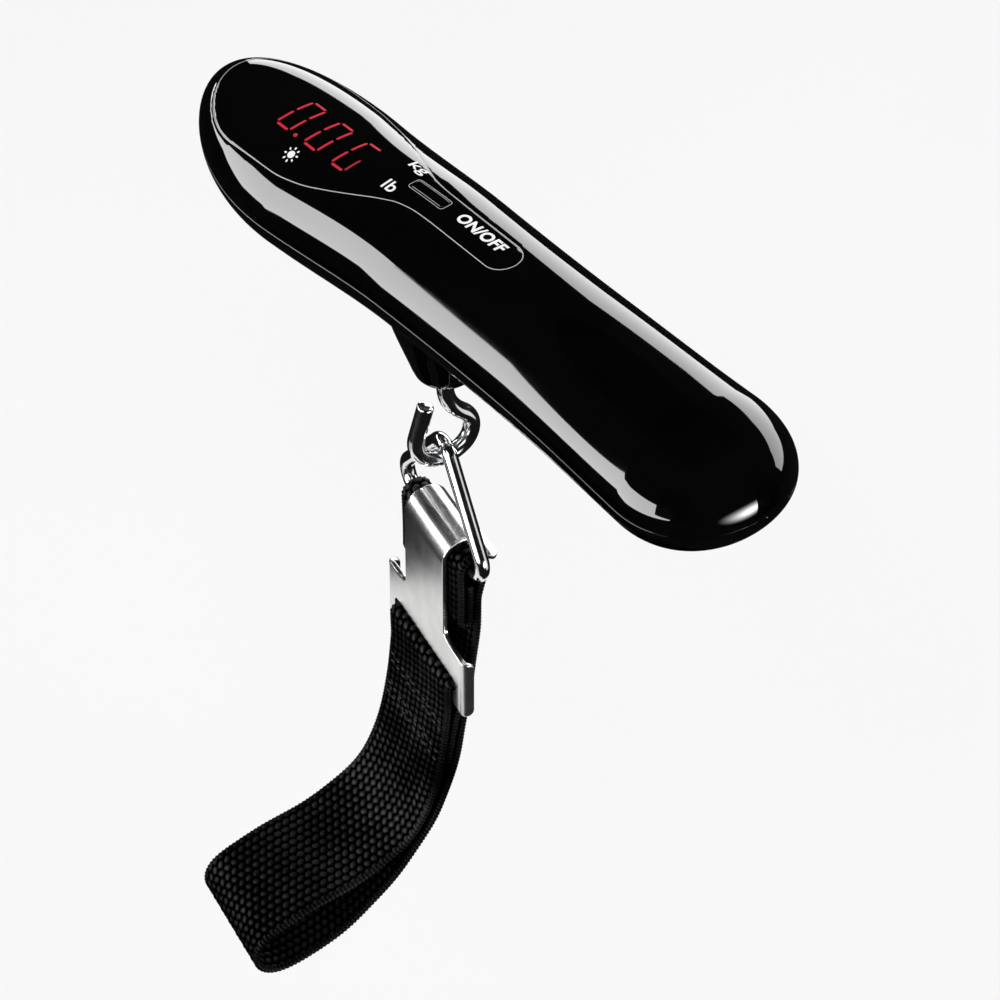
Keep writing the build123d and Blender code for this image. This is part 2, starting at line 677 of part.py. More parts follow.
def make_clasp():
    back_face = LOOP_B - ROLL_RADIUS + PLATE          # inside of the front plate
    with BuildPart() as clasp:
        # roll over the bar, with the flared lip on the far side
        with BuildSketch(SIDE):
            with BuildLine():
                middle = ROLL_RADIUS - PLATE / 2
                front_edge = Line((LOOP_B - middle, BAR_Z - 4), (LOOP_B - middle, BAR_Z))
                CenterArc((LOOP_B, BAR_Z), middle, 180, -180)
                down = Line((LOOP_B + middle, BAR_Z), (LOOP_B + middle, BAR_Z - 0.6))
                RadiusArc(down @ 1, (LOOP_B + middle + 3.9, BAR_Z - 4.3), -5)
            trace(line_width=PLATE)
        extrude(amount=CLASP_HALF_WIDTH, both=True)
        # front plate with shoulders and the webbing slot
        front = Plane(origin=HANG, x_dir=ALONG, z_dir=tuple(-v for v in OUTWARD)).offset(-back_face)
        with BuildSketch(front):
            with BuildLine():
                Polyline(
                    (-CLASP_HALF_WIDTH, BAR_Z), (CLASP_HALF_WIDTH, BAR_Z),
                    (CLASP_HALF_WIDTH, BAR_Z + SHOULDER_TOP),
                    (SHOULDER_HALF_WIDTH, BAR_Z + SHOULDER_FULL),
                    (SHOULDER_HALF_WIDTH, BAR_Z + CLASP_BOTTOM),
                    (-SHOULDER_HALF_WIDTH, BAR_Z + CLASP_BOTTOM),
                    (-SHOULDER_HALF_WIDTH, BAR_Z + SHOULDER_FULL),
                    (-CLASP_HALF_WIDTH, BAR_Z + SHOULDER_TOP), close=True,
                )
            make_face()
            with Locations((0, BAR_Z + (SLOT_TOP + SLOT_BOTTOM) / 2)):
                RectangleRounded(2 * SLOT_HALF_WIDTH, SLOT_TOP - SLOT_BOTTOM, 1.5, mode=Mode.SUBTRACT)
        extrude(amount=PLATE)
        # side rails turned back from the plate
        for side in (-1, 1):
            rail_middle = side * (SHOULDER_HALF_WIDTH - PLATE / 2)
            with BuildSketch(front):
                with Locations((rail_middle, BAR_Z + (SHOULDER_FULL + CLASP_BOTTOM) / 2)):
                    Rectangle(PLATE, SHOULDER_FULL - CLASP_BOTTOM)
            extrude(amount=-FLANGE)
    save(clasp, "clasp")


def make_webbing():
    """One length of webbing: wrapped round the bar, down, folded, and back up through the clasp."""
    before_bar = LOOP_B - ROLL_RADIUS - WEB_THICKNESS / 2 - 0.15
    behind_bar = LOOP_B - ROLL_RADIUS + PLATE + WEB_THICKNESS / 2 + 0.15
    slot = BAR_Z + SLOT_TOP - 1.9
    wrap_top = BAR_Z + WEB_WRAP
    # centreline in the side view: (outward, height, radius of the bend)
    route = (
        (-1.1, -79.5, 0), (-1.1, -90.4, 0.92), (LOOP_B - WEB_WRAP, -90.4, 0.92),   # first end, folded under
        (LOOP_B - WEB_WRAP, wrap_top, WEB_WRAP), (LOOP_B + WEB_WRAP, wrap_top, WEB_WRAP),
        (LOOP_B + WEB_WRAP, -77.0, 8), (0.9, -83.5, 12), (0.7, -91.5, 30), (-1.3, -112.0, 60), (-5.0, -136.0, 50),
        (-11.0, -152.0, 40), (-20.8, -165.6, 40), (-33.3, -176.0, 40),
        (-45.2, -180.2, 16), (-54.8, -179.8, 5.4), (-53.8, -168.2, 5.2),
        (-42.0, -163.6, 20), (-27.5, -160.4, 24), (-15.8, -154.6, 14),
        (-10.2, -143.0, 24), (before_bar - 0.9, -126.0, 40),
        (before_bar, -115.5, 20), (before_bar, slot, 1.3),
        (behind_bar, slot, 1.3), (behind_bar, -113.2, 6), (-4.6, -120.0, 12), (-5.4, -125.5, 12),
        (-6.4, -132.0, 0),                                      # second end, sewn to the front run
    )
    points = [(b, z) for b, z, radius in route]
    bends = [radius for b, z, radius in route[1:-1]]
    with BuildPart() as webbing:
        with BuildSketch(SIDE):
            with BuildLine() as run:
                FilletPolyline(*points, radius=bends)
            trace(line_width=WEB_THICKNESS)
        extrude(amount=WEB_WIDTH / 2, both=True)
    print("webbing cut length", round(sum(edge.length for edge in run.line.edges()), 1))
    save(webbing, "webbing")


make_top_shell()
make_display_panel()
make_bottom_shell()
make_battery_door()
make_electronics()
make_power_key()
make_load_cell()
make_case_screws()
make_battery_pack()
make_bush()
make_hook()
make_ring()
make_clasp()
make_webbing()
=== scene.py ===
import json
import math

import bmesh
import bpy
import numpy as np
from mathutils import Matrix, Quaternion, Vector
from mathutils.geometry import delaunay_2d_cdt


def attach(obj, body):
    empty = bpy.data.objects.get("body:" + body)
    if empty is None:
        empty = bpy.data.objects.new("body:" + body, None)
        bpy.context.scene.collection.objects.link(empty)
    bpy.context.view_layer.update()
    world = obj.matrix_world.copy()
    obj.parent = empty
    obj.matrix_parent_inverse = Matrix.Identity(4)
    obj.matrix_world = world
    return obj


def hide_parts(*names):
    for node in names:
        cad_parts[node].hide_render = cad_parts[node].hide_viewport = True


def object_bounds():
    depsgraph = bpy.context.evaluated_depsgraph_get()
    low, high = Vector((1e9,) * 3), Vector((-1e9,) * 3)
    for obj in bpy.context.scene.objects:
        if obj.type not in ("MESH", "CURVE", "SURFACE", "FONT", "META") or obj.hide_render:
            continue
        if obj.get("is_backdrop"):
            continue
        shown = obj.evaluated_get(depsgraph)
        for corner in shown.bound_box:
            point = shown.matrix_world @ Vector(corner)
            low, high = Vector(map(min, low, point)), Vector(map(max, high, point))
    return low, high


# Digital luggage scale.  Lengths below are in millimetres unless a name ends in _M.
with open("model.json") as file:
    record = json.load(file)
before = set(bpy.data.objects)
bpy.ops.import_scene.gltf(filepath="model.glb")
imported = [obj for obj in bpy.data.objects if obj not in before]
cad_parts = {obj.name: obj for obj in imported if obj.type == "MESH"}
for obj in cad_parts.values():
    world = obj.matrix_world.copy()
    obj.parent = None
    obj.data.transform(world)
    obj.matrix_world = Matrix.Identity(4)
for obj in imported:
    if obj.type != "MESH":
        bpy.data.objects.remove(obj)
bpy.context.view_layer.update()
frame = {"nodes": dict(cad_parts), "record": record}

MM = 0.001

# ---- camera
CAMERA_AZIMUTH, CAMERA_ELEVATION, CAMERA_ROLL = math.radians(49.44), math.radians(42.84), math.radians(0.38)
CAMERA_DISTANCE_M = 0.7591
AIM_M = Vector((0.0231, -0.01486, -0.0292))


def in_scene(name, data):
    made = bpy.data.objects.new(name, data)
    bpy.context.scene.collection.objects.link(made)
    return made


def make_camera():
    data = bpy.data.cameras.new("camera")
    data.lens = 141.6
    data.sensor_width = 36.0
    data.clip_start, data.clip_end = 0.01, 20
    camera = in_scene("camera", data)
    flat = math.cos(CAMERA_ELEVATION)
    camera.location = CAMERA_DISTANCE_M * Vector((
        math.sin(CAMERA_AZIMUTH) * flat, -math.cos(CAMERA_AZIMUTH) * flat, math.sin(CAMERA_ELEVATION)))
    camera.rotation_mode = "QUATERNION"
    level = (AIM_M - camera.location).to_track_quat("-Z", "Y")
    camera.rotation_quaternion = level @ Quaternion((0, 0, 1), CAMERA_ROLL)
    bpy.context.scene.camera = camera


make_camera()


# ---- materials
def feed(tree, socket, value):
    if isinstance(value, bpy.types.NodeSocket):
        tree.links.new(value, socket)
    else:
        socket.default_value = value


def add_node(tree, kind, **inputs):
    """A new node whose inputs are set to values, or linked to other nodes' outputs."""
    node = tree.nodes.new("ShaderNode" + kind)
    for name, value in inputs.items():
        feed(tree, node.inputs[name.replace("_", " ")], value)
    return node


class Shader:
    """A node material built round one Principled shader."""

    def __init__(self, name, **constants):
        self.material = bpy.data.materials.new(name)
        self.material.use_nodes = True
        self.tree = self.material.node_tree
        self.main = self.tree.nodes["Principled BSDF"]
        for socket, value in constants.items():
            self.into(socket.replace("_", " "), value)
        self.place = add_node(self.tree, "TexCoord").outputs["Object"]

    def stretched(self, scale):
        return add_node(self.tree, "Mapping", Scale=scale, Vector=self.place).outputs["Vector"]

    def noise(self, scale, detail=3.0, rough=0.5, vector=None):
        return add_node(self.tree, "TexNoise", Scale=scale, Detail=detail, Roughness=rough,
                        Vector=vector or self.place).outputs["Fac"]

    def spread(self, value, low, high, start=0.3, end=0.7):
        return add_node(self.tree, "MapRange", From_Min=start, From_Max=end, To_Min=low, To_Max=high,
                        Value=value).outputs["Result"]

    def ramp(self, value, *stops):
        node = add_node(self.tree, "ValToRGB", Fac=value)
        elements = node.color_ramp.elements
        while len(elements) < len(stops):
            elements.new(0.5)
        for element, (position, colour) in zip(elements, stops):
            element.position = position
            element.color = (*colour, 1)
        return node.outputs["Color"]

    def math(self, kind, a, b):
        node = add_node(self.tree, "Math")
        node.operation = kind
        feed(self.tree, node.inputs[0], a)
        feed(self.tree, node.inputs[1], b)
        return node.outputs[0]

    def into(self, socket, value):
        feed(self.tree, self.main.inputs[socket], value)

    def bump(self, value, strength, distance):
        self.into("Normal", add_node(self.tree, "Bump", Strength=strength, Distance=distance,
                                     Height=value).outputs["Normal"])


def gloss_black(name, coat_rough):
    """Polished black plastic: a little haze and a few fine rub marks."""
    look = Shader(name, IOR=1.5, Coat_Weight=0.6, Coat_Roughness=coat_rough, Coat_IOR=1.5)
    haze = look.noise(45, 4, 0.6)
    rub = look.noise(420, 5, 0.7, look.stretched((0.25, 1.0, 1.0)))
    look.into("Base Color", look.ramp(haze, (0.3, (0.0008, 0.0008, 0.0009)), (0.7, (0.0016, 0.0016, 0.0017))))
    rubbed = look.spread(rub, 0.0, 0.03, 0.62, 0.8)
    look.into("Roughness", look.math("ADD", look.spread(haze, 0.02, 0.05), rubbed))
    return look.material


def bright_metal(name, colour, low, high, grain, scale=900, aniso=0.0):
    """Plated metal: fine drawn scratches along the grain, and faint cloudy variation."""
    look = Shader(name, Metallic=1.0, Anisotropic=aniso)
    cloud = look.noise(120, 4, 0.6)
    drawn = look.noise(scale, 4, 0.65, look.stretched(grain))
    dark = tuple(c * 0.86 for c in colour)
    look.into("Base Color", look.ramp(cloud, (0.32, dark), (0.62, colour)))
    look.into("Roughness", look.spread(look.math("ADD", look.math("MULTIPLY", cloud, 0.5),
                                                 look.math("MULTIPLY", drawn, 0.5)), low, high))
    look.bump(drawn, 0.12, 0.00003)
    return look.material


def moulded(name, colour, rough, metal=0.0, grain=1500):
    """Hidden or matt parts: moulded or machined surfaces with their fine grain."""
    look = Shader(name, Metallic=metal)
    cloud = look.noise(160, 4, 0.6)
    fine = look.noise(grain, 3, 0.6)
    dark = tuple(c * 0.72 for c in colour)
    look.into("Base Color", look.ramp(cloud, (0.3, dark), (0.7, colour)))
    look.into("Roughness", look.spread(cloud, rough - 0.08, rough + 0.08))
    look.bump(fine, 0.25, 0.00005)
    return look.material


def lit(name, colour, glow):
    """Printed legends and lines, and lit LED segments, a little uneven as ink and LEDs are. The LEDs glow as
    they really do; the ink is given the same emission, a painted glow.
    """
    look = Shader(name, Emission_Strength=glow, Coat_Weight=0.5, Coat_Roughness=0.03)
    uneven = look.noise(1400, 3, 0.6)
    look.into("Base Color", look.ramp(uneven, (0.3, tuple(c * 0.45 for c in colour)),
                                      (0.7, tuple(c * 0.5 for c in colour))))
    look.into("Emission Color", look.ramp(uneven, (0.3, tuple(c * 0.85 for c in colour)), (0.7, colour)))
    return look.material


def woven():
    """Black nylon with fine filaments along each yarn. The gaps between the yarns are painted darker and
    given no specular, a painted shade in the recesses, so the yarn tops stand out lighter.
    """
    look = Shader("webbing_weave_painted_gap_shade", Specular_IOR_Level=0.17)
    relief = add_node(look.tree, "Attribute")
    relief.attribute_name = "relief"
    height = relief.outputs["Fac"]
    yarn = look.noise(2600, 4, 0.7)
    patch = look.noise(70, 3, 0.6)
    # painted shade: the colour and the specular level fall away where the relief is low, darkening the gaps
    # between the yarns
    painted_gap_shade = look.math("MULTIPLY", height, look.spread(patch, 0.65, 1.15))
    look.into("Base Color", look.ramp(painted_gap_shade, (0.3, (0.0005, 0.0005, 0.0006)), (0.7, (0.002, 0.002, 0.0022)),
                                      (1.0, (0.009, 0.009, 0.0095))))
    look.into("Specular IOR Level", look.spread(painted_gap_shade, 0.0, 0.34, 0.45, 1.0))
    look.into("Roughness", look.spread(yarn, 0.36, 0.56))
    look.bump(yarn, 0.5, 0.00012)
    return look.material


def circuit_green():
    look = Shader("board_mask", Coat_Weight=0.3, Coat_Roughness=0.2)
    tracks = look.noise(260, 2, 0.4)
    look.into("Base Color", look.ramp(tracks, (0.46, (0.012, 0.09, 0.035)), (0.5, (0.03, 0.2, 0.08))))
    look.into("Roughness", look.spread(tracks, 0.3, 0.45))
    return look.material


HOUSING = gloss_black("housing_gloss", 0.02)
PANEL = gloss_black("panel_gloss", 0.01)
CHROME = bright_metal("hook_chrome", (0.86, 0.87, 0.88), 0.07, 0.14, (1.0, 1.0, 0.2))
NICKEL = bright_metal("clasp_nickel", (0.80, 0.80, 0.79), 0.20, 0.28, (1.0, 1.0, 0.06), 1400, 0.35)
STEEL = bright_metal("zinc_steel", (0.62, 0.63, 0.65), 0.22, 0.4, (1.0, 1.0, 1.0))
MATTE = moulded("moulded_black", (0.02, 0.02, 0.021), 0.55)
WEAVE = woven()
LED = lit("led_red", (0.62, 0.004, 0.03), 0.62)
LED_DIM = lit("led_red_dim", (0.62, 0.004, 0.03), 0.16)
# painted glow: the legend ink is given an emission, so the print glows though it is no lamp
INK_PAINTED_GLOW = lit("legend_ink_painted_glow", (0.92, 0.93, 0.94), 0.62)
# painted highlight: the light lines along the panel's and the key's edges glow with this emission
EDGE_LINE_PAINTED_HIGHLIGHT = lit("outline_ink_painted_highlight", (0.7, 0.71, 0.73), 0.3)

INSIDE = {
    "led_module": moulded("led_module", (0.02, 0.02, 0.02), 0.5),
    "tin": moulded("tinned_pins", (0.72, 0.72, 0.7), 0.3, 1.0),
    "board": circuit_green(),
    "steel": STEEL,
    "chip": moulded("chip_epoxy", (0.025, 0.025, 0.027), 0.5),
    "aluminium": moulded("milled_aluminium", (0.72, 0.73, 0.74), 0.34, 1.0, 700),
    "gauge_film": moulded("gauge_film", (0.6, 0.34, 0.08), 0.3),
    "lead": moulded("lead_jacket", (0.4, 0.015, 0.015), 0.45),
    "matte_black": MATTE,
    "cell": moulded("cell_sleeve", (0.12, 0.13, 0.15), 0.32),
    "spring_nickel": moulded("contact_nickel", (0.72, 0.7, 0.65), 0.26, 1.0),
    "bush_bronze": moulded("sintered_bronze", (0.42, 0.26, 0.12), 0.42, 1.0, 2600),
}


# ---- mesh helpers
def piece(name, points, faces, material, body, normals=None):
    """One named piece from points in mm; a zero normal is worked out from the mesh."""
    mesh = bpy.data.meshes.new(name)
    mesh.from_pydata((np.asarray(points, float) * MM).tolist(), [], [list(map(int, f)) for f in faces])
    mesh.materials.append(material)
    mesh.shade_smooth()
    if normals is not None:
        mesh.normals_split_custom_set_from_vertices(np.asarray(normals, float).tolist())
    made = in_scene(name, mesh)
    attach(made, body)
    return made


def strip(first, second, count, closed=True):
    """Quads between two rows of vertices that start at first and second."""
    steps = count if closed else count - 1
    return [(first + i, first + (i + 1) % count, second + (i + 1) % count, second + i) for i in range(steps)]


def lofted(rows, count, closed=True):
    """Quads between each of these rows of count vertices and the next."""
    return [f for row in range(rows - 1) for f in strip(row * count, (row + 1) * count, count, closed)]


def unit(rows):
    return rows / np.maximum(np.linalg.norm(rows, axis=1), 1e-12)[:, None]


def right_of(rows):
    """Plane vectors turned a quarter clockwise."""
    return np.stack([rows[:, 1], -rows[:, 0]], 1)


def offset_loop(loop, grow):
    """A closed anticlockwise plan loop, moved outwards by grow."""
    return loop + grow * right_of(unit(np.roll(loop, -1, 0) - np.roll(loop, 1, 0)))


def inside(loop, points):
    """Which points lie inside the closed loop."""
    x, y = points.T
    hit = np.zeros(len(points), bool)
    for (x0, y0), (x1, y1) in zip(loop, np.roll(loop, -1, 0)):
        if y0 != y1:
            hit ^= ((y0 > y) != (y1 > y)) & (x < (x1 - x0) * (y - y0) / (y1 - y0) + x0)
    return hit


def distances(run):
    """How far along a run of points each of them is."""
    return np.concatenate([[0], np.cumsum(np.linalg.norm(np.diff(run, axis=0), axis=1))])


def along_run(run, at, values=None):
    """The points at these distances along a run, or the values that go with its points."""
    length, values = distances(run), run if values is None else values
    return np.stack([np.interp(at, length, values[:, i]) for i in (0, 1)], 1)


def resample(loop, step, count=None):
    """A closed loop at even steps, or with this many points."""
    ring = np.vstack([loop, loop[:1]])
    total = distances(ring)[-1]
    return along_run(ring, np.linspace(0, total, count or max(24, int(total / step)), endpoint=False))


def spokes(turn):
    """Plane vectors of length 1 at these angles."""
    return np.stack([np.cos(turn), np.sin(turn)], -1)


def rounded_rectangle(cx, cy, length, width, radius, step=0.4):
    right, far = length / 2 - radius, width / 2 - radius
    quarter = np.linspace(0, 90, 13)
    return resample(np.vstack([
        [cx + sx * right, cy + sy * far] + radius * spokes(np.radians(start + quarter))
        for sx, sy, start in ((1, 1, 0), (-1, 1, 90), (-1, -1, 180), (1, -1, 270))]), step)


def circle(cx, cy, radius, count):
    return [cx, cy] + radius * spokes(np.linspace(0, 2 * math.pi, count, endpoint=False))


def softened(loop, *falls):
    """Rings that round an edge: the loop moved outwards by each amount, and its depth there."""
    return [(offset_loop(loop, grow), fall) for grow, fall in falls]


def clear_of(grid, loop, gap):
    """The grid's points that are at least this far from the loop's."""
    near = ((grid > loop.min(0) - gap) & (grid < loop.max(0) + gap)).all(1)
    candidates = np.where(near)[0]
    for block in np.array_split(candidates, max(1, len(candidates) // 500)):
        near[block] = np.linalg.norm(grid[block][:, None] - loop[None], axis=2).min(1) < gap
    return grid[~near]


def triangulated(grid, depth, rings, keep):
    """Points, depths, places in the input and triangles from a grid and its rings; keep picks by centroid."""
    points, depths, edges, count = [grid], [depth], [], len(grid)
    for loop, fall in rings:
        edges += [(count + i, count + (i + 1) % len(loop)) for i in range(len(loop))]
        points.append(loop)
        depths.append(np.full(len(loop), fall))
        count += len(loop)
    depths = np.concatenate(depths)
    made = delaunay_2d_cdt([Vector(p) for p in np.vstack(points)], edges, [], 0, 1e-6, True)
    flat, faces = np.array([tuple(v) for v in made[0]]), np.array(made[2])
    origin = np.array([ids[0] if ids else -1 for ids in made[3]])
    depth = np.where(origin < 0, 0.0, depths[origin])
    faces = faces[keep(flat[faces].mean(1))]
    used = np.unique(faces)
    index = np.full(len(flat), -1)
    index[used] = np.arange(len(used))
    return flat[used], depth[used], origin[used], index[faces]


def walled(faces, count):
    """A thick sheet's faces, with its other side count vertices on, and the edges along its rims."""
    directed = {(f[i], f[(i + 1) % 3]) for f in faces for i in range(3)}
    rims = sorted((i, j) for i, j in directed if (j, i) not in directed)
    both = [tuple(f) for f in faces] + [tuple(f[::-1] + count) for f in faces]
    return both + [(j, i, i + count, j + count) for i, j in rims], rims


# ---- the housing's form
LENGTH, DISPLAY_CAP, HANDLE_CAP = 160.0, 35.6, 20.9
DISPLAY_X, HANDLE_X = DISPLAY_CAP - LENGTH / 2, LENGTH / 2 - HANDLE_CAP
CROWN, KEEL = 14.2, 12.1
WALL = 1.8
ROLL = 17.0                  # mm of the unrolled section for each radian
SEAM_ROUND = 0.28
QUARTER = math.pi / 2
U_LOW, U_HIGH = DISPLAY_X - DISPLAY_CAP * QUARTER, HANDLE_X + HANDLE_CAP * QUARTER


def half_width(x):
    reach = x - 12.0
    reach = reach - 2.4e-9 * reach ** 5
    return 17.1 + np.where(reach < 0, 0.0006, 0.00075) * reach ** 2


def seam(x):
    t = np.maximum(0.0, (-10.0 - x) / 70.0)
    s = np.maximum(0.0, (x - 25.0) / 55.0)
    return t * t * (-28.8 + 45.1 * t - 12.1 * t * t) + s * s * (-3.75 - 0.9 * s + 5.75 * s * s)


def station(u):
    """Place along the housing, and the share of the full section that it has there."""
    display = np.clip((DISPLAY_X - u) / DISPLAY_CAP, 0, QUARTER)
    handle = np.clip((u - HANDLE_X) / HANDLE_CAP, 0, QUARTER)
    x = np.clip(u, DISPLAY_X, HANDLE_X) - DISPLAY_CAP * np.sin(display) + HANDLE_CAP * np.sin(handle)
    return x, np.cos(display) * np.cos(handle)


def unrolled(plan):
    """Plan points on the housing, in the unrolled surface's own coordinates."""
    x, y = plan.T
    display = np.arcsin(np.clip((DISPLAY_X - x) / DISPLAY_CAP, 0, 1))
    handle = np.arcsin(np.clip((x - HANDLE_X) / HANDLE_CAP, 0, 1))
    u = np.clip(x, DISPLAY_X, HANDLE_X) - DISPLAY_CAP * display + HANDLE_CAP * handle
    width = half_width(x) * np.cos(display) * np.cos(handle)
    return np.stack([u, ROLL * np.arccos(np.clip(-y / np.maximum(width, 1e-6), -1, 1))], 1)


def skin(uv, lower):
    x, share = station(uv[:, 0])
    turn = uv[:, 1] / ROLL
    rise = -KEEL if lower else CROWN
    return np.stack([x, -half_width(x) * share * np.cos(turn), seam(x) + rise * share * np.sin(turn)], 1)


def skin_normals(uv, lower):
    step = 1e-3
    held = np.column_stack([np.clip(uv[:, 0], U_LOW + 0.05, U_HIGH - 0.05), uv[:, 1]])
    du = skin(held + [step, 0], lower) - skin(held - [step, 0], lower)
    dv = skin(held + [0, step], lower) - skin(held - [0, step], lower)
    normal = unit(np.cross(du, dv) if lower else np.cross(dv, du))
    place = skin(held, lower)
    x = place[:, 0]
    away = place - np.stack([np.clip(x, DISPLAY_X, HANDLE_X), np.zeros(len(x)), seam(x)], 1)
    return normal * np.where(np.sum(normal * away, 1) < 0, -1, 1)[:, None]


def round_depth(distance, radius):
    """How far the surface falls away at this distance from a rounded edge."""
    short = np.clip(radius - distance, 0, radius)
    return radius - np.sqrt(radius ** 2 - short ** 2)


def skin_mesh(rings, keep):
    """Triangulates part of the unrolled skin.  rings are (plan loop, depth); keep picks faces by centroid."""
    u_rows = np.linspace(U_LOW, U_HIGH, int(U_HIGH - U_LOW) + 1)
    v_end = math.pi * ROLL
    edge_rows = np.array([0, 0.07, 0.15, 0.24, 0.36]) * ROLL / CROWN
    middle = np.linspace(edge_rows[-1] + 0.5, v_end - edge_rows[-1] - 0.5, 52)
    v_rows = np.concatenate([edge_rows, middle, v_end - edge_rows[::-1]])
    grid = np.stack(np.meshgrid(u_rows, v_rows, indexing="ij"), -1).reshape(-1, 2)
    loops = [unrolled(plan) for plan, _ in rings]
    for loop in loops:
        grid = clear_of(grid, loop, 0.42)
    from_seam = np.minimum(grid[:, 1], v_end - grid[:, 1]) * CROWN / ROLL
    uv, depth, origin, faces = triangulated(
        grid, round_depth(from_seam, SEAM_ROUND), [(loop, fall) for loop, (_, fall) in zip(loops, rings)],
        lambda at: keep(at, loops))
    # points on the rings or between them count as rounded, as those by the seam do
    rounded = np.append(from_seam < SEAM_ROUND, True)[np.minimum(origin, len(grid))]
    return uv, depth, rounded, faces


def thick_skin(name, lower, mesh, wall, material, body, more=None):
    """A shell from a patch of skin: outside, inside and the rims between them."""
    uv, depth, rounded, faces = mesh
    normal = skin_normals(uv, lower)
    base = skin(uv, lower)
    outer = base - normal * depth[:, None]
    a, b, c = (outer[faces[:, i]] for i in range(3))
    cross = np.cross(b - a, c - a)
    facing = np.sum(cross * normal[faces[:, 0]], 1)
    faces = np.where((facing < 0)[:, None], faces[:, ::-1], faces)[np.linalg.norm(cross, axis=1) > 1e-7]
    count = len(uv)
    everything, rims = walled(faces, count)
    points = np.vstack([outer, base - normal * wall])
    normals = np.vstack([np.where(rounded[:, None], 0, normal), -normal])
    edge = np.unique(rims)
    normals[edge] = normals[edge + count] = 0
    if more is not None:
        extra_points, extra_faces, extra_normals = more
        everything += [tuple(i + len(points) for i in f) for f in extra_faces]
        points, normals = np.vstack([points, extra_points]), np.vstack([normals, extra_normals])
    return piece(name, points, everything, material, body, normals)


def top_height(plan):
    return skin(unrolled(plan), False)[:, 2]


# ---- display panel's plan
KEY_X, KEY_Y, KEY_LENGTH, KEY_WIDTH = -16.2, 1.0, 9.3, 2.4
KEY_GAP, KEY_RISE = 0.3, 0.25
TONGUE_END, TONGUE_HALF = 10.0, 4.1


def smooth_through(knots, step):
    """A smooth curve through plan points, with slopes limited so that it can't overshoot."""
    x, y = np.array(knots, float).T
    span = np.diff(x)
    slope = np.diff(y) / span
    rate = np.zeros(len(x))
    for i in range(1, len(x) - 1):
        if slope[i - 1] * slope[i] > 0:
            w0, w1 = 2 * span[i] + span[i - 1], span[i] + 2 * span[i - 1]
            rate[i] = (w0 + w1) / (w0 / slope[i - 1] + w1 / slope[i])
    at = np.arange(x[0], x[-1], step)
    i = np.clip(np.searchsorted(x, at, side="right") - 1, 0, len(span) - 1)
    t = (at - x[i]) / span[i]
    value = ((1 + 2 * t) * (1 - t) ** 2 * y[i] + t * (1 - t) ** 2 * span[i] * rate[i]
             + t * t * (3 - 2 * t) * y[i + 1] - t * t * (1 - t) * span[i] * rate[i + 1])
    return np.stack([at, value], 1)


def panel_loop():
    turn = np.radians(np.linspace(180, 90, 60))
    window = [-59.5, 0] + [16.0, 13.9] * spokes(turn)
    shoulder = smooth_through(((-59.5, 13.9), (-47.5, 13.75), (-40.5, 12.7), (-33.8, 10.7), (-28.0, 8.5),
                               (-22.8, 6.3), (-18.6, 4.8), (-14.0, 4.2), (-9.0, TONGUE_HALF)), 0.3)
    centre = TONGUE_END - TONGUE_HALF
    end = np.radians(np.linspace(90, 0, 40))
    tongue = [centre, 0] + TONGUE_HALF * spokes(end)
    far = np.vstack([window[:-1], shoulder, tongue])
    near = far[::-1][1:-1] * [1, -1]
    return resample(np.vstack([far, near]), 0.45)[::-1]


PANEL_LOOP = panel_loop()
KEY_LOOP = rounded_rectangle(KEY_X, KEY_Y, KEY_LENGTH + 2 * KEY_GAP, KEY_WIDTH + 2 * KEY_GAP, 0.6, 0.3)


# ---- shells
def make_top_cover():
    rings = softened(PANEL_LOOP, (0.03, 0.05), (0.05, 0.012), (0.09, 0))
    mesh = skin_mesh(rings, lambda at, loops: ~inside(loops[0], at))
    cover = thick_skin("top_cover", False, mesh, WALL, HOUSING, "housing")
    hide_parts("top_shell")


def make_panel():
    rings = softened(PANEL_LOOP, (0, 0.05), (-0.02, 0.012), (-0.06, 0))
    rings += softened(KEY_LOOP, (0, 0.12), (0.05, 0.03), (0.12, 0))
    mesh = skin_mesh(rings, lambda at, loops: inside(loops[0], at) & ~inside(loops[3], at))
    panel = thick_skin("display_window", False, mesh, 1.0, PANEL, "housing")
    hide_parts("display_panel")


HOOK_X = -11.0
NECK_ROOT, NECK_BLEND = 14.0, 3.2
CASE_SCREWS = ((-68.0, 0.0), (7.0, -9.5), (7.0, 9.5), (71.0, 0.0))
DOOR_X, DOOR_LENGTH, DOOR_WIDTH, DOOR_GAP = 39.0, 53.4, 21.8, 0.3
FIRST_GROOVE_X, GROOVE_PITCH = 59.7, 2.4


def neck_depth(radius):
    """Depth of the neck's tapered side at this radius."""
    radii = np.array([4.9, 5.3, 5.8, 6.3, 6.9, 7.6, 8.6, 9.6, 10.6, 11.4, 12.2, 12.9, 16.0])
    depths = np.array([28.8, 28.75, 28.5, 27.9, 26.4, 24.2, 21.2, 18.1, 14.9, 11.9, 8.2, 4.0, -14.0])
    return np.interp(radius, radii, depths)


def make_neck(root):
    """The collar under the housing, flowing out of the lower shell and down to its lip."""
    count = len(root)
    spoke = spokes(np.arctan2(root[:, 1], root[:, 0] - HOOK_X))
    rows = []
    for radius in (*np.linspace(NECK_ROOT, 10.4, 26), *np.linspace(10.2, 6.9, 16),
                   6.6, 6.3, 6.05, 5.8, 5.55, 5.3, 5.0):
        plan = [HOOK_X, 0] + radius * spoke
        body = -skin(unrolled(plan), True)[:, 2]
        neck = neck_depth(radius)
        blend = np.clip(0.5 + 0.5 * (neck - body) / NECK_BLEND, 0, 1)
        depth = body + (neck - body) * blend + NECK_BLEND * blend * (1 - blend) * 0.5
        rows.append(np.column_stack([plan, -depth]))
    for radius, z in ((4.6, -28.8), (4.3, -28.78), (4.12, -28.65), (4.02, -28.4), (4.0, -28.0), (4.0, -21.0)):
        rows.append(np.column_stack([[HOOK_X, 0] + radius * spoke, np.full(count, z)]))
    normals = np.zeros((len(rows) * count, 3))
    normals[:count] = skin_normals(unrolled(root), True)
    return np.vstack(rows), [f[::-1] for f in lofted(len(rows), count)], normals


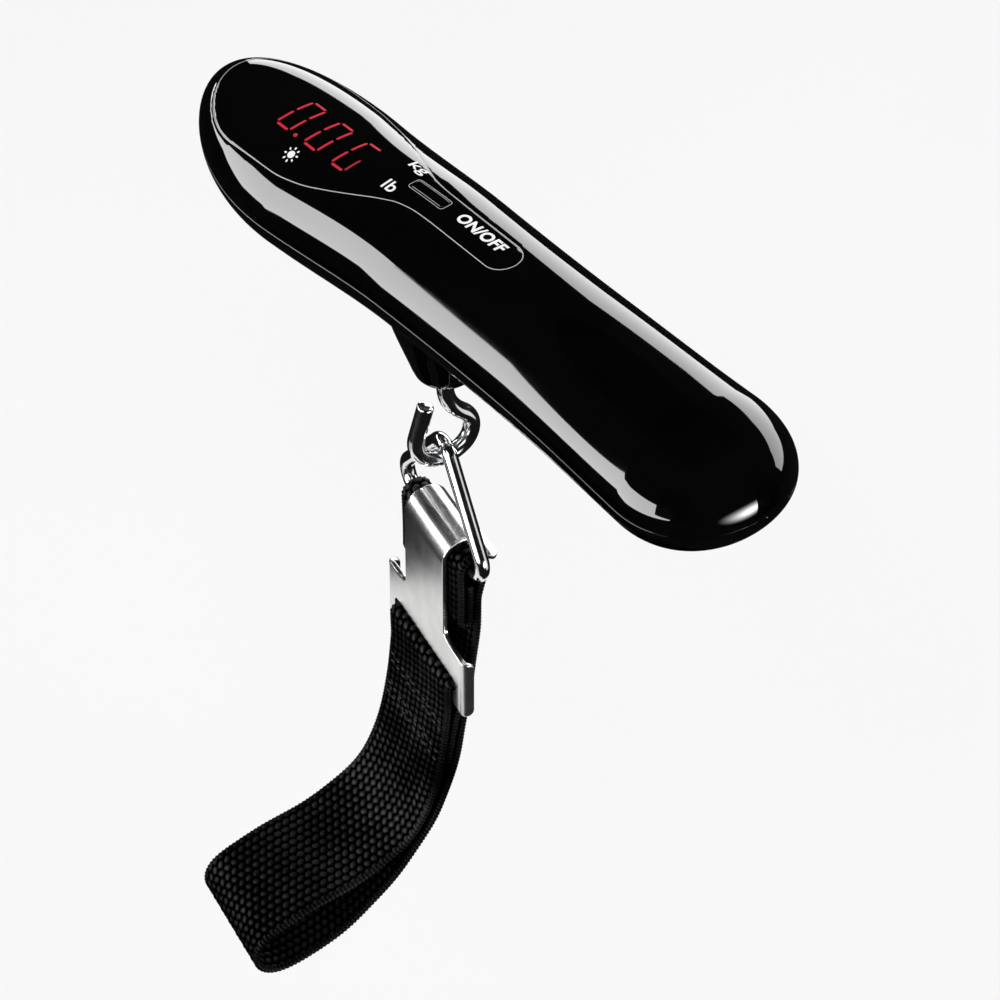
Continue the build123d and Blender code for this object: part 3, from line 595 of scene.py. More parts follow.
def make_bottom_cover():
    door = rounded_rectangle(DOOR_X, 0, DOOR_LENGTH + 2 * DOOR_GAP, DOOR_WIDTH + 2 * DOOR_GAP, 3.0)
    root = circle(HOOK_X, 0, NECK_ROOT, 144)
    rim = (0, 0.2), (0.08, 0.06), (0.2, 0)
    rings = softened(door, *rim) + [(root, 0.0)]
    for x, y in CASE_SCREWS:
        rings += softened(circle(x, y, 2.2, 40), *rim)

    def keep(at, loops):
        return ~np.any([inside(loop, at) for loop in (loops[0], loops[3], *loops[4::3])], 0)

    cover = thick_skin("bottom_cover", True, skin_mesh(rings, keep), WALL, HOUSING, "housing",
                       make_neck(root))
    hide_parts("bottom_shell")


def make_screw_wells():
    """Moulded wells that the case screws sit in."""
    for number, (x, y) in enumerate(CASE_SCREWS, 1):
        rim, wide = circle(x, y, 2.2, 40), circle(x, y, 2.9, 40)
        floor = np.full(40, float(seam(x)) - 4.5)
        rows = [(rim, skin(unrolled(rim), True)[:, 2] + 0.2), (rim, floor), (circle(x, y, 1.2, 40), floor),
                (wide, floor + 0.8), (wide, skin(unrolled(wide), True)[:, 2] + 1.0)]
        faces = lofted(5, 40) + strip(4 * 40, 0, 40)
        points = np.vstack([np.column_stack(row) for row in rows])
        piece(f"screw_well_{number}", points, faces, MATTE, "housing")


def make_door():
    loop = rounded_rectangle(DOOR_X, 0, DOOR_LENGTH, DOOR_WIDTH, 2.7)
    rings = softened(loop, (0, 0.2), (-0.08, 0.06), (-0.2, 0))
    for step in range(3):
        groove = rounded_rectangle(FIRST_GROOVE_X - GROOVE_PITCH * step, 0, 1.2, 9.0, 0.55, 0.25)
        rings += softened(groove, (0, 0), (-0.14, 0.1), (-0.3, 0.42))
    mesh = skin_mesh(rings, lambda at, loops: inside(loops[0], at))
    door = thick_skin("battery_cover", True, mesh, WALL, HOUSING, "battery_door")
    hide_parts("battery_door")


make_top_cover()
make_panel()
make_bottom_cover()
make_screw_wells()
make_door()


# ---- the panel's key, legends and digits
def make_key():
    rings = ((0.0, -3.0), (0.0, -0.22), (-0.05, -0.1), (-0.14, -0.02), (-0.28, 0.0), (-0.5, 0.01),
             (-0.8, 0.02), (-1.05, 0.02))
    rows = []
    for grow, rise in rings:
        radius = max(0.5 + grow, 0.05)
        loop = rounded_rectangle(KEY_X, KEY_Y, KEY_LENGTH + 2 * grow, KEY_WIDTH + 2 * grow, radius, 0.25)
        if rows:
            loop = resample(loop, 0.25, len(rows[0]))
        rows.append(np.column_stack([loop, top_height(loop) + KEY_RISE + rise]))
    count = len(rows[0])
    faces = lofted(len(rows), count)
    last = (len(rows) - 1) * count
    centre = np.array([[KEY_X, KEY_Y]])
    centre = np.column_stack([centre, top_height(centre) + KEY_RISE + rise])
    faces += [(last + i, last + (i + 1) % count, len(rows) * count) for i in range(count)]
    key = piece("key_cap", np.vstack(rows + [centre]), faces, PANEL, "power_key")
    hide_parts("power_key")


PRINT = 0.02                 # thickness of the printing on the panel


def ribbon(name, loop, start, end):
    """A thin light line that follows a loop on the panel, part print and part painted highlight of the edge,
    glowing with its material's emission.
    """
    rows = []
    for grow, rise in ((start, 0.0), (start, PRINT), (end, PRINT), (end, 0.0)):
        plan = offset_loop(loop, grow)
        rows.append(np.column_stack([plan, top_height(plan) + rise]))
    count = len(loop)
    faces = lofted(4, count) + strip(3 * count, 0, count)
    piece(name, np.vstack(rows), faces, EDGE_LINE_PAINTED_HIGHLIGHT, "housing")


def printed(name, flat, material):
    """Lays a flat mesh in the plan on the panel's curved top, as a thin layer."""
    work = bmesh.new()
    work.from_mesh(flat)
    corners = np.array([v.co for v in work.verts])
    low, high = corners.min(0), corners.max(0)
    # cut into half-millimetre squares, so that the layer can follow the curve
    for axis, direction in enumerate(((1, 0, 0), (0, 1, 0))):
        for at in np.arange(math.ceil(low[axis] / 0.5) * 0.5, high[axis], 0.5):
            everything = work.verts[:] + work.edges[:] + work.faces[:]
            bmesh.ops.bisect_plane(work, geom=everything, plane_co=Vector(direction) * (at + 0.0113),
                                   plane_no=direction, dist=1e-6)
    bmesh.ops.triangulate(work, faces=work.faces[:])
    bmesh.ops.remove_doubles(work, verts=work.verts[:], dist=1e-4)
    top = bmesh.ops.extrude_face_region(work, geom=work.faces[:])
    raised = {v for v in top["geom"] if isinstance(v, bmesh.types.BMVert)}
    for v, z in zip(work.verts, top_height(np.array([v.co[:2] for v in work.verts]))):
        v.co.z = z + (PRINT if v in raised else 0.0)
    bmesh.ops.recalc_face_normals(work, faces=work.faces[:])
    bmesh.ops.scale(work, vec=(MM, MM, MM), verts=work.verts[:])
    mesh = bpy.data.meshes.new(name)
    work.to_mesh(mesh)
    work.free()
    mesh.materials.append(material)
    made = in_scene(name, mesh)
    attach(made, "housing")


def polygons_mesh(polygons):
    mesh = bpy.data.meshes.new("flat")
    points, faces = [], []
    for polygon in polygons:
        faces.append(list(range(len(points), len(points) + len(polygon))))
        points += [(x, y, 0.0) for x, y in polygon]
    mesh.from_pydata(points, [], faces)
    return mesh


SEGMENTS = {
    # name: (from, to) in units of the digit's width and half height
    "top": ((0, 2), (1, 2)), "upper_right": ((1, 2), (1, 1)), "lower_right": ((1, 1), (1, 0)),
    "bottom": ((1, 0), (0, 0)), "lower_left": ((0, 0), (0, 1)), "upper_left": ((0, 1), (0, 2)),
}
DIGIT_WIDTH, DIGIT_HEIGHT, DIGIT_LEAN = 3.9, 8.9, 1.0
DIGIT_BOTTOM = -6.0
DIGIT_X = (-55.2, -46.7, -38.2)


def segment(x, name, weight=0.27, gap=0.3):
    (c0, r0), (c1, r1) = SEGMENTS[name]
    a = np.array([c0 * DIGIT_WIDTH, r0 * DIGIT_HEIGHT / 2])
    b = np.array([c1 * DIGIT_WIDTH, r1 * DIGIT_HEIGHT / 2])
    along = (b - a) / np.linalg.norm(b - a)
    side = np.array([-along[1], along[0]]) * weight
    a, b = a + along * gap, b - along * gap
    corners = [a, a + along * weight + side, b - along * weight + side, b,
               b - along * weight - side, a + along * weight - side]
    return [(x + p[0] + DIGIT_LEAN * p[1] / DIGIT_HEIGHT, DIGIT_BOTTOM + p[1]) for p in corners]


def make_digits():
    lit_up, dim = [], []
    for place, x in enumerate(DIGIT_X):
        for name in SEGMENTS:
            if place == 2 and name == "upper_right":
                continue
            (dim if place == 2 and name == "lower_right" else lit_up).append(segment(x, name))
    lit_up.append([tuple(p) for p in circle(-49.3, -5.9, 0.46, 16)])
    printed("lit_digits", polygons_mesh(lit_up), LED)
    printed("dim_segment", polygons_mesh(dim), LED_DIM)


def make_sun(x, y):
    turns = np.linspace(0, 2 * math.pi, 8, endpoint=False) + 0.2
    parts = [[tuple(p) for p in circle(x, y, 0.78, 28)]]
    for turn in turns:
        along = spokes(turn)
        side = np.array([-along[1], along[0]])
        middle = np.array([x, y]) + along * 1.42
        parts.append([tuple(middle + along * 0.3 * math.cos(t) + side * 0.19 * math.sin(t))
                      for t in np.linspace(0, 2 * math.pi, 12, endpoint=False)])
    printed("light_symbol", polygons_mesh(parts), INK_PAINTED_GLOW)


def legend(name, words, left, right, bottom, top, weight, lean=0.0):
    """Generic lettering fitted to a box in the panel's plan."""
    curve = bpy.data.curves.new(name + "_outline", "FONT")
    curve.body = words
    curve.size = 10
    curve.offset = weight
    curve.resolution_u = 6
    curve.space_character = 1.06
    holder = in_scene(name + "_outline", curve)
    bpy.context.view_layer.update()
    flat = bpy.data.meshes.new_from_object(holder.evaluated_get(bpy.context.evaluated_depsgraph_get()))
    bpy.data.objects.remove(holder)
    corners = np.array([v.co for v in flat.vertices])
    low, size = corners.min(0)[:2], np.ptp(corners, 0)[:2]
    for v in flat.vertices:
        across, up = (v.co[:2] - low) / size
        v.co = (left + (right - left) * across + lean * (up - 0.5), bottom + (top - bottom) * up, 0)
    printed(name, flat, INK_PAINTED_GLOW)


make_key()
# light lines along the panel's and the key's edges: a painted highlight that glows
ribbon("panel_hairline", PANEL_LOOP, -0.06, 0.10)
ribbon("key_hairline", KEY_LOOP, 0.02, 0.14)
make_digits()
# the sun mark and the legends below are printed in ink that glows, a painted glow
make_sun(-46.3, -9.4)
legend("legend_lb", "lb", -25.2, -22.1, -4.2, -1.4, 0.12)
legend("legend_kg", "kg", -26.7, -21.9, 3.2, 6.5, 0.12)
legend("legend_on_off", "ON/OFF", -7.5, 5.3, -0.3, 2.6, 0.32, 0.2)


# ---- hook, ring and their frame
SWIVEL = math.radians(-13.0)
ALONG = np.array([math.cos(SWIVEL), math.sin(SWIVEL), 0])
OUTWARD = np.array([-math.sin(SWIVEL), math.cos(SWIVEL), 0])
HANG = np.array([HOOK_X, 0, 0])
HOOK_WIRE, RING_WIRE, RING_GAP = 1.8, 1.6, 0.3
LOOP_RADIUS, LOOP_B, LOOP_Z = 6.35, -0.4, -46.4
SHANK_BEND, HOOK_END, HOOK_TIP = 11.0, 165.0, 8.4
BAR_Z, RING_CORNER, RING_CORNER_A = -74.3, 4.0, 13.0


def hung(a, b, z):
    """From across, outward and height to the housing's frame."""
    a, b, z = (np.asarray(c, float) for c in np.broadcast_arrays(a, b, z))
    return HANG + a[..., None] * ALONG + b[..., None] * OUTWARD + z[..., None] * np.array([0, 0, 1.0])


def arc(cx, cy, radius, start, sweep, step=3.0):
    count = max(2, int(abs(sweep) / step) + 1)
    return [cx, cy] + radius * spokes(np.radians(start + np.linspace(0, sweep, count)))


def line(start, end, step=0.8):
    start, end = np.asarray(start, float), np.asarray(end, float)
    count = max(2, int(np.linalg.norm(end - start) / step) + 1)
    return start + (end - start) * np.linspace(0, 1, count)[:, None]


def joined(*runs):
    """Runs end to end, without the doubled points between them."""
    return np.vstack([runs[0]] + [run[1:] for run in runs[1:]])


def rod(name, flat, place, radii, closed, body):
    """A round wire along a flat path; place turns path points into the housing's frame."""
    ahead = np.roll(flat, -1, 0) - np.roll(flat, 1, 0)
    if not closed:
        ahead[0], ahead[-1] = flat[1] - flat[0], flat[-1] - flat[-2]
    across = -right_of(unit(ahead))
    sides = 36
    turn = np.linspace(0, 2 * math.pi, sides, endpoint=False)
    rings = []
    for point, side, radius in zip(flat, across, radii):
        spot = point + side * (radius * np.cos(turn))[:, None]
        rings.append(place(spot[:, 0], spot[:, 1], radius * np.sin(turn)))
    last = (len(rings) - 1) * sides
    faces = lofted(len(rings), sides)
    ends = [tuple(range(sides))[::-1], tuple(range(last, last + sides))]
    faces += strip(last, 0, sides) if closed else ends
    made = piece(name, np.vstack(rings), faces, CHROME, body)
    fix_normals(made)
    return made


def fix_normals(made):
    work = bmesh.new()
    work.from_mesh(made.data)
    bmesh.ops.recalc_face_normals(work, faces=work.faces[:])
    work.to_mesh(made.data)
    work.free()


def make_hook():
    reach = SHANK_BEND + LOOP_RADIUS
    shank_end = LOOP_Z + math.sqrt(reach ** 2 - (SHANK_BEND - LOOP_B) ** 2)
    lean = math.degrees(math.atan2(shank_end - LOOP_Z, SHANK_BEND - LOOP_B))
    loop = arc(LOOP_B, LOOP_Z, LOOP_RADIUS, lean, HOOK_END - 360 - lean)
    up = np.array([math.sin(math.radians(HOOK_END)), -math.cos(math.radians(HOOK_END))])
    tip = loop[-1] + up * HOOK_TIP
    path = joined(line((0, 4.0), (0, shank_end), 1.5), arc(SHANK_BEND, shank_end, SHANK_BEND, 180, lean),
                  loop, line(loop[-1], tip - up * 0.6), line(tip - up * 0.6, tip, 0.12))
    radii = np.full(len(path), HOOK_WIRE)
    back = np.linalg.norm(path - tip, axis=1)
    near = back < 0.5
    radii[near] = HOOK_WIRE - round_depth(back[near], 0.5)
    hook = rod("wire_hook", path, lambda b, z, a: hung(a, b, z), radii, False, "hook")
    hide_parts("hook")


def make_ring():
    apex_radius = HOOK_WIRE + RING_WIRE + RING_GAP
    apex, corner = LOOP_Z - LOOP_RADIUS, BAR_Z + RING_CORNER
    rise = math.atan2(apex - corner, RING_CORNER_A)
    leg = 90 - math.degrees(rise) - math.degrees(
        math.asin((RING_CORNER - apex_radius) / math.hypot(apex - corner, RING_CORNER_A)))
    right = arc(RING_CORNER_A, corner, RING_CORNER, -90, 90 + leg)
    top = arc(0, apex, apex_radius, leg, 180 - 2 * leg)
    left = arc(-RING_CORNER_A, corner, RING_CORNER, 180 - leg, 90 + leg)
    path = joined(right, line(right[-1], top[0]), top, line(top[-1], left[0]), left,
                  line(left[-1], right[0]))[:-1]
    radii = np.full(len(path), RING_WIRE)
    ring = rod("wire_ring", path, lambda a, z, out: hung(a, LOOP_B + out, z), radii, True, "ring")
    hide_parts("strap_ring")


make_hook()
make_ring()


# ---- clasp, from its flat pattern
PLATE, ROLL_OUT = 1.2, 5.0
CLASP_HALF, SHOULDER_HALF = 8.8, 17.8
SLOT_TOP, SLOT_BOTTOM, SLOT_HALF = BAR_Z - 31.4, BAR_Z - 34.8, 14.2
SHOULDER_TOP, SHOULDER_FULL, CLASP_BOTTOM = BAR_Z - 20.6, BAR_Z - 24.6, BAR_Z - 38.8
FLANGE_BEND, FLANGE_DEPTH = 1.0, 1.6
SPARE = 4.0                  # the side view's line runs on this far past the clasp's bottom


def clasp_run():
    """The sheet's middle line in the side view, from the flared lip over the roll and down the front."""
    middle = ROLL_OUT - PLATE / 2
    lip = arc(LOOP_B + middle + 4.85, BAR_Z + 0.6, 5.0, 259, -65, 4)
    over = arc(LOOP_B, BAR_Z, middle, 0, 180, 4)
    down = line((LOOP_B - middle, BAR_Z), (LOOP_B - middle, CLASP_BOTTOM - SPARE), 1.0)
    return joined(lip, line(lip[-1], over[0]), over, down)


def clasp_pattern(at_height):
    """The flat pattern's outline, as (across, along the sheet)."""
    shoulder, flare, end = (at_height(z) for z in (SHOULDER_TOP, SHOULDER_FULL, CLASP_BOTTOM - 0.6))
    wing = SHOULDER_HALF + FLANGE_DEPTH - 0.4
    turns = np.linspace(0, QUARTER, 14)
    middle, fall = (CLASP_HALF + wing) / 2, (flare - shoulder) / 2
    right = [(0, 0), (CLASP_HALF - 1.6, 0), *arc(CLASP_HALF - 1.6, 1.6, 1.6, -90, 90, 15)[1:]]
    right += [(CLASP_HALF, y) for y in np.arange(2.4, shoulder, 0.8)]
    right += [(middle - (middle - CLASP_HALF) * math.cos(t), shoulder + fall * math.sin(t)) for t in turns]
    right += [(middle + (wing - middle) * math.sin(t), flare - fall * math.cos(t)) for t in turns[1:]]
    right += [(wing, y) for y in np.arange(flare + 0.8, end - 1.5, 0.8)]
    right += [*arc(wing - 1.5, end - 1.5, 1.5, 0, 90, 15), (wing - 2.6, end)]
    right = np.array(right + [(wing - 3.4, at_height(CLASP_BOTTOM)), (0, at_height(CLASP_BOTTOM))])
    return resample(np.vstack([right, right[::-1][1:-1] * [-1, 1]]), 0.5)


def make_clasp():
    run = clasp_run()
    length = distances(run)
    ahead = unit(np.gradient(run, length, axis=0))

    def at_height(z):
        """Distance along the sheet to this height on its front."""
        return length[-1] - (z - CLASP_BOTTOM + SPARE)

    outline = clasp_pattern(at_height)
    slot = rounded_rectangle(0, (at_height(SLOT_TOP) + at_height(SLOT_BOTTOM)) / 2, 2 * SLOT_HALF,
                             SLOT_TOP - SLOT_BOTTOM, 1.5, 0.5)
    falls = [(d, float(round_depth(d, 0.3))) for d in (0.0, 0.04, 0.11, 0.2, 0.3)]
    rings = softened(outline, *((-d, fall) for d, fall in falls)) + softened(slot, *falls)
    low, high = outline.min(0), outline.max(0)
    grid = np.stack(np.meshgrid(np.arange(low[0], high[0], 0.55), np.arange(low[1], high[1], 0.55),
                                indexing="ij"), -1).reshape(-1, 2)
    for loop, _ in rings:
        grid = clear_of(grid, loop, 0.3)
    flat, depth, _, faces = triangulated(grid, np.zeros(len(grid)), rings,
                                         lambda at: inside(outline, at) & ~inside(slot, at))

    def folded(offset):
        """Sheet points at this distance in front of the middle surface, bent as the clasp is."""
        a, s = flat.T
        out = right_of(unit(along_run(run, s, ahead)))
        # the sides of the lower plate turn back into flanges
        start = SHOULDER_HALF - PLATE / 2 - FLANGE_BEND
        over = np.clip(np.abs(a) - start, 0, None)
        lower = s > at_height(SHOULDER_TOP)
        turn = np.where(lower, np.clip(over / FLANGE_BEND, 0, QUARTER), 0)
        straight = np.where(lower, np.clip(over - FLANGE_BEND * QUARTER, 0, None), 0)
        side = np.where(lower, np.minimum(np.abs(a), start) + FLANGE_BEND * np.sin(turn), np.abs(a))
        back = FLANGE_BEND * (1 - np.cos(turn)) + straight
        side += offset * np.sin(turn)
        spot = along_run(run, s) + out * (offset * np.cos(turn) - back)[:, None]
        return hung(np.sign(a) * side, *spot.T)

    points = np.vstack([folded(PLATE / 2 - depth), folded(-PLATE / 2 + depth)])
    clasp = piece("bent_clasp", points, walled(faces, len(flat))[0], NICKEL, "strap")
    fix_normals(clasp)
    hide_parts("clasp")


make_clasp()


# ---- webbing
WEB_WIDTH, WEB_THICKNESS, WEB_WRAP = 27.0, 1.6, 2.7
BEFORE_BAR = LOOP_B - ROLL_OUT - WEB_THICKNESS / 2 - 0.15
BEHIND_BAR = LOOP_B - ROLL_OUT + PLATE + WEB_THICKNESS / 2 + 0.15
SLOT_RUN = SLOT_TOP - 1.9
WRAP_TOP = BAR_Z + WEB_WRAP
# the webbing's middle line in the side view: outward, height, radius of the bend
WEB_ROUTE = (
    (-1.1, -79.5, 0), (-1.1, -90.4, 0.92), (LOOP_B - WEB_WRAP, -90.4, 0.92),
    (LOOP_B - WEB_WRAP, WRAP_TOP, WEB_WRAP), (LOOP_B + WEB_WRAP, WRAP_TOP, WEB_WRAP),
    (LOOP_B + WEB_WRAP, -77.0, 8), (0.9, -83.5, 12), (0.7, -91.5, 30), (-1.3, -112.0, 60), (-5.0, -136.0, 50),
    (-11.0, -152.0, 40), (-20.8, -165.6, 40), (-33.3, -176.0, 40), (-45.2, -180.2, 16), (-54.8, -179.8, 5.4),
    (-53.8, -168.2, 5.2), (-42.0, -163.6, 20), (-27.5, -160.4, 24), (-15.8, -154.6, 14), (-10.2, -143.0, 24),
    (BEFORE_BAR - 0.9, -126.0, 40), (BEFORE_BAR, -115.5, 20), (BEFORE_BAR, SLOT_RUN, 1.3),
    (BEHIND_BAR, SLOT_RUN, 1.3), (BEHIND_BAR, -113.2, 6), (-4.6, -120.0, 12), (-5.4, -125.5, 12),
    (-6.4, -132.0, 0),
)
WEB_STEP = 0.32
COLUMNS = 14
YARN = 1.9                   # length of one yarn float along the strap
RELIEF = 0.46
STITCH_ROWS, THREAD = (-120.0, -122.4, -129.0, -131.4), 0.27
FIRST_HELD, LAST_HELD = 50.0, 36.0   # lengths of the two ends that the clasp holds to shape
SELVEDGE, SELVEDGE_PITCH = 1.1, 0.95


def rounded_route(route):
    """The route with each corner rounded by its own radius."""
    points = [np.array(route[0][:2], float)]
    for before, corner, after in zip(route, route[1:], route[2:]):
        p, q, r = (np.array(c[:2], float) for c in (before, corner, after))
        into, out = (q - p) / np.linalg.norm(q - p), (r - q) / np.linalg.norm(r - q)
        bend = math.acos(max(-1.0, min(1.0, float(into @ out))))
        radius = corner[2]
        cut = radius * math.tan(bend / 2)
        side = np.array([-into[1], into[0]])
        left = 1 if float(side @ out) > 0 else -1
        middle = q - into * cut + side * radius * left
        spoke = q - into * cut - middle
        for angle in left * np.linspace(0, bend, max(3, int(bend / 0.05))):
            points.append(middle + math.cos(angle) * spoke - math.sin(angle) * right_of(spoke[None])[0])
    points.append(np.array(route[-1][:2], float))
    return np.array(points)


def eased(run, widths):
    """Softens the changes of bend along the run; widths says over what length at each point."""
    length = distances(run)
    out = run.copy()
    for i, (s, width) in enumerate(zip(length, widths)):
        room = min(width, s, length[-1] - s)
        if room <= 0:
            continue
        low, high = np.searchsorted(length, (s - room, s + room))
        weight = np.cos((length[low:high] - s) / room * QUARTER) ** 2
        out[i] = (run[low:high] * weight[:, None]).sum(0) / weight.sum()
    return out


def even_run(run, step):
    total = distances(run)[-1]
    at = np.linspace(0, total, int(total / step) + 1)
    return along_run(run, at), at


def weave(s, a):
    """Height of the woven face from 0 to 1: rounded yarn floats in staggered columns."""
    pitch = WEB_WIDTH / COLUMNS
    column = np.floor((a + WEB_WIDTH / 2) / pitch)
    x = ((a + WEB_WIDTH / 2) / pitch - column) * 2 - 1
    phase = s / YARN + 0.5 * (column % 2)
    y = (phase - np.floor(phase)) * 2 - 1
    # each float leans a little, alternately
    x = x + 0.22 * y * np.where(column % 2 > 0, 1, -1)
    dome = np.clip(1 - 0.95 * x ** 2 - 0.85 * y ** 2, 0, None)
    return np.sqrt(dome)


def make_stitches(run):
    """Rows of thread across the front run, where the second end is sewn to it."""
    turn = np.linspace(0, 2 * math.pi, 8, endpoint=False)
    along = np.linspace(-1, 1, 9)[1:-1]
    points, faces = [], []
    front = run[len(run) // 2:]
    for height in STITCH_ROWS:
        b = front[np.argmin(np.abs(front[:len(front) // 2 + 100, 1] - height)), 0] - WEB_THICKNESS / 2 + 0.06
        for middle in np.arange(-WEB_WIDTH / 2 + 2.6, WEB_WIDTH / 2 - 2.0, 2.45):
            first = len(points)
            for step in along:
                thick = THREAD * math.sqrt(1 - step ** 2)
                points += [hung(middle + 0.95 * step, b + thick * math.cos(t), height + 0.25 * step
                                + thick * math.sin(t)) for t in turn]
            faces += [tuple(first + i for i in f) for f in lofted(len(along), 8)]
            faces += [tuple(range(first, first + 8))[::-1], tuple(range(len(points) - 8, len(points)))]
    thread = piece("sewing_thread", points, faces, MATTE, "strap")
    fix_normals(thread)
    return thread


def webbing_run():
    """The webbing's middle line at even steps, and the distance along it."""
    run, length = even_run(rounded_route(WEB_ROUTE), WEB_STEP)
    last = length[-1] - LAST_HELD
    reach = np.minimum(np.abs(length - FIRST_HELD), np.abs(length - last))
    held = (length < FIRST_HELD) | (length > last)
    return even_run(eased(run, np.where(held, 0.6, np.minimum(9.0, 0.6 + reach * 0.5))), WEB_STEP)


def make_webbing():
    run, length = webbing_run()
    out = right_of(unit(np.gradient(run, axis=0)))
    half = WEB_WIDTH / 2
    across = np.concatenate([[-half + 0.02], np.linspace(-half + 0.35, half - 0.35, 78), [half - 0.02]])
    s, a = np.meshgrid(length, across, indexing="ij")
    edge = np.clip((half - np.abs(a)) / 0.8, 0, 1)
    thin = np.maximum(np.sqrt(1 - (1 - edge) ** 2), 0.12)
    selvedge = np.abs(a) > half - SELVEDGE
    knots = np.cos(s / SELVEDGE_PITCH * 2 * math.pi)
    # the edges of a length of webbing wander a little
    wander = 0.10 * np.sin(length / 7.3) + 0.08 * np.sin(length / 2.9 + 1.0)
    width = a * (1 + 0.010 * knots * selvedge) + wander[:, None]
    points, relief = [], []
    for side in (1, -1):
        lift = weave(s + (YARN / 2 if side < 0 else 0), a)
        lift = np.where(selvedge, 0.45 + 0.5 * (0.5 + 0.5 * knots), lift)
        reach = side * (WEB_THICKNESS / 2 - RELIEF + RELIEF * lift) * thin
        b, z = (run[:, None, i] + out[:, None, i] * reach for i in (0, 1))
        points.append(hung(width, b, z))
        relief.append(lift)
    rows, count = s.shape
    face = lofted(rows, count, False)
    second = rows * count
    border = [row * count for row in range(rows)] + [second - count + i for i in range(1, count)]
    border += [row * count + count - 1 for row in range(rows - 2, -1, -1)] + list(range(count - 2, 0, -1))
    faces = face + [tuple(i + second for i in f[::-1]) for f in face]
    faces += [(i, j, j + second, i + second) for i, j in zip(border, border[1:] + border[:1])]
    points = np.concatenate(points).reshape(-1, 3)
    strap = piece("woven_strap", points, faces, WEAVE, "strap")
    layer = strap.data.attributes.new("relief", "FLOAT", "POINT")
    layer.data.foreach_set("value", np.ravel(relief).astype(np.float32))
    fix_normals(strap)
    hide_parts("webbing")
    make_stitches(run)


make_webbing()


# ---- CAD nodes that stay
slots = {entry["node"]: entry["material_slot"] for entry in frame["record"]["subparts"]}
for node, shown in frame["nodes"].items():
    if not shown.hide_render:
        shown.data.materials.clear()
        shown.data.materials.append(INSIDE.get(slots[node], STEEL))


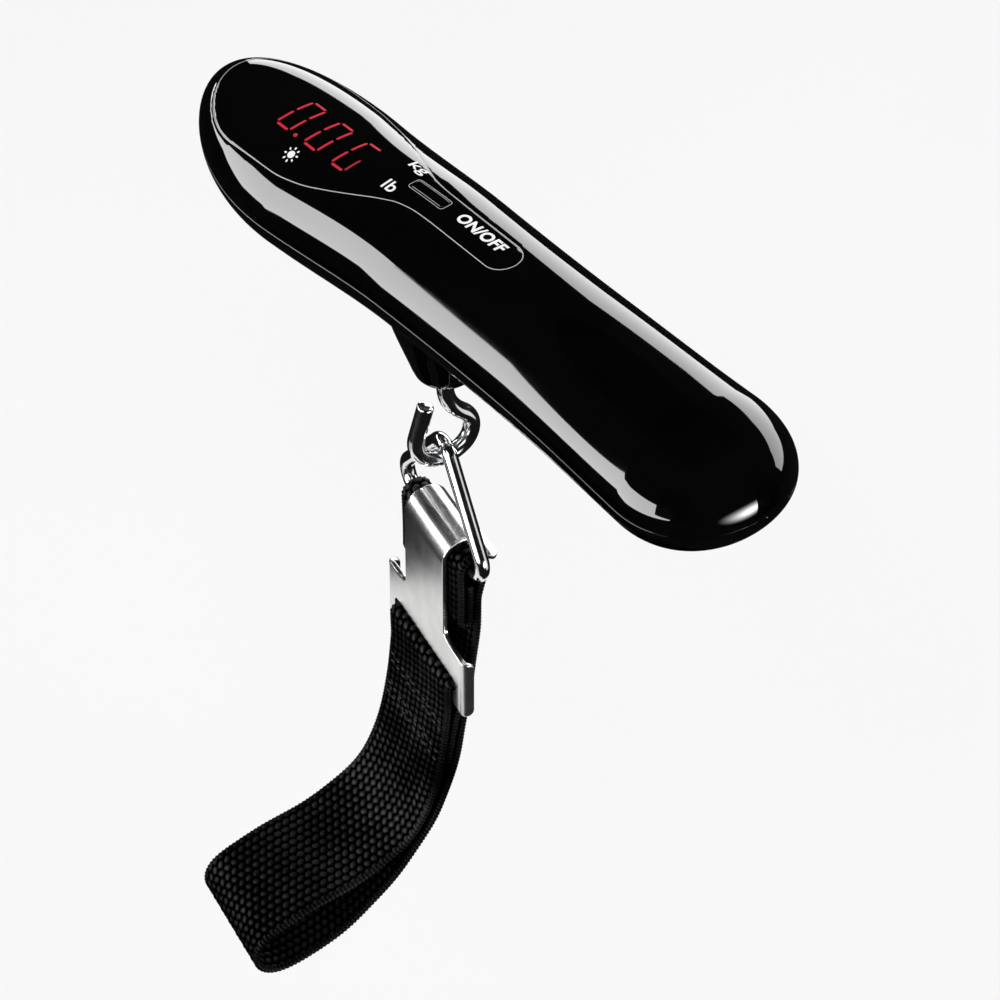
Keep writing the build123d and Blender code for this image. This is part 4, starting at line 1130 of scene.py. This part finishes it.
# ---- floor and light
def make_floor():
    mesh = bpy.data.meshes.new("floor")
    size, height = 6.0, -0.62
    corners = [(x * size, y * size, height) for x, y in ((-1, -1), (1, -1), (1, 1), (-1, 1))]
    mesh.from_pydata(corners, [], [(0, 1, 2, 3)])
    floor = in_scene("floor", mesh)
    paint = Shader("floor_paint", Roughness=0.9)
    soft = paint.noise(3, 2, 0.5)
    paint.into("Base Color", paint.ramp(soft, (0.3, (0.93, 0.93, 0.93)), (0.7, (0.95, 0.95, 0.95))))
    mesh.materials.append(paint.material)
    floor.visible_glossy = False
    floor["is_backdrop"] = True


def card(name, facing, outline, strength, distance=1.0, only=(), soft=None):
    """A light card square to this direction from the object, outlined as (sideways, upward) in metres.

    A soft card fades out from its middle, the sooner the larger soft is."""
    out = Vector(facing).normalized()
    side = Vector((0, 0, 1)).cross(out).normalized() if abs(out.z) < 0.9 else Vector((1, 0, 0))
    up = out.cross(side)
    mesh = bpy.data.meshes.new(name)
    corners = [out * distance + side * x + up * y for x, y in outline]
    mesh.from_pydata(corners, [], [tuple(range(len(outline)))])
    glow = bpy.data.materials.new(name)
    glow.use_nodes = True
    tree = glow.node_tree
    tree.nodes.clear()
    emit = add_node(tree, "Emission", Strength=strength)
    if soft:
        low, size = np.min(outline, 0), np.ptp(outline, 0)
        for corner, place in zip(mesh.uv_layers.new(name="card").data, outline):
            corner.uv = (place - low) / size
        moved = add_node(tree, "Mapping", Location=(-0.5 * soft, -0.5 * soft, 0), Scale=(soft, soft, 0),
                         Vector=add_node(tree, "TexCoord").outputs["UV"])
        fade = add_node(tree, "TexGradient", Vector=moved.outputs["Vector"])
        fade.gradient_type = "QUADRATIC_SPHERE"
        power = add_node(tree, "Math")
        power.operation = "MULTIPLY"
        feed(tree, power.inputs[0], fade.outputs["Fac"])
        feed(tree, power.inputs[1], strength)
        feed(tree, emit.inputs["Strength"], power.outputs[0])
    add_node(tree, "OutputMaterial", Surface=emit.outputs[0])
    mesh.materials.append(glow)
    lamp = in_scene(name, mesh)
    lamp.visible_camera = lamp.visible_shadow = lamp.visible_diffuse = False
    if only:
        lit_by = bpy.data.collections.new(name + "_lights")
        for shown in only:
            lit_by.objects.link(shown)
        lamp.light_linking.receiver_collection = lit_by
    lamp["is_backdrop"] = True


def make_world():
    """White all round, but nearly dark to a mirrored ray, so that the gloss shows the light cards alone."""
    world = bpy.data.worlds.new("studio")
    bpy.context.scene.world = world
    world.use_nodes = True
    tree = world.node_tree
    tree.nodes.clear()
    mix = add_node(tree, "MixShader", Fac=add_node(tree, "LightPath").outputs["Is Glossy Ray"])
    for place, strength in ((1, 1.0), (2, 0.008)):
        sky = add_node(tree, "Background", Color=(1, 1, 1, 1), Strength=strength)
        feed(tree, mix.inputs[place], sky.outputs[0])
    add_node(tree, "OutputWorld", Surface=mix.outputs[0])


make_floor()
make_world()
card("near_strip", (-0.622, -0.783, 0), [
    (-1.4, 0.30), (-0.29, 0.18), (-0.08, -0.03), (0.05, -0.05), (0.12, -0.24), (0.27, -0.30), (1.6, -0.20),
    (1.6, 0.46), (0.27, 0.20), (0.13, 0.22), (0.0, 0.52), (-0.19, 0.51), (-0.42, 0.27), (-1.4, 0.40)], 7.0)
card("far_strip", (-0.567, 0.823, 0), [
    (0.45, 0.20), (0.22, 0.24), (0.10, 0.19), (0.0, 0.46), (-0.10, 0.42), (-0.13, 0.34), (-0.46, 0.50),
    (-1.1, 0.62), (-1.8, 0.55), (-1.8, 0.10), (-0.53, 0.04), (-0.19, -0.15), (-0.03, -0.05), (0.05, -0.11),
    (0.45, -0.12)], 3.2)
card("handle_glow", (1.0, -0.05, -0.15), [(-0.35, -0.28), (0.85, -0.28), (0.85, 0.34), (-0.35, 0.34)], 26.0,
     soft=1.9)
metal = [bpy.data.objects[name] for name in ("wire_hook", "wire_ring", "bent_clasp")]
card("metal_floor", (-0.708, -0.183, -0.682), [
    (-0.12, -0.25), (0.12, -0.25), (0.12, -0.064), (-0.12, -0.058)], 0.9, 0.165, metal)
for name, facing, (left, low, right, high), strength in (
        ("metal_low", (-0.3, -0.75, -0.6), (-0.3, -0.3, 0.3, 0.1), 0.5),
        ("metal_side", (0.8, 0.5, -0.1), (-0.2, -0.5, 0.25, 0.5), 0.8),
        ("metal_key", (0.35, -0.9, 0.25), (-0.25, -0.3, 0.25, 0.5), 1.6),
        ("metal_top", (-0.2, 0.2, 0.96), (-0.35, -0.5, 0.35, 0.5), 1.1)):
    card(name, facing, [(left, low), (right, low), (right, high), (left, high)], strength, 0.9, metal)
bpy.context.scene.view_settings.view_transform = "Standard"

low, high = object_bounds()
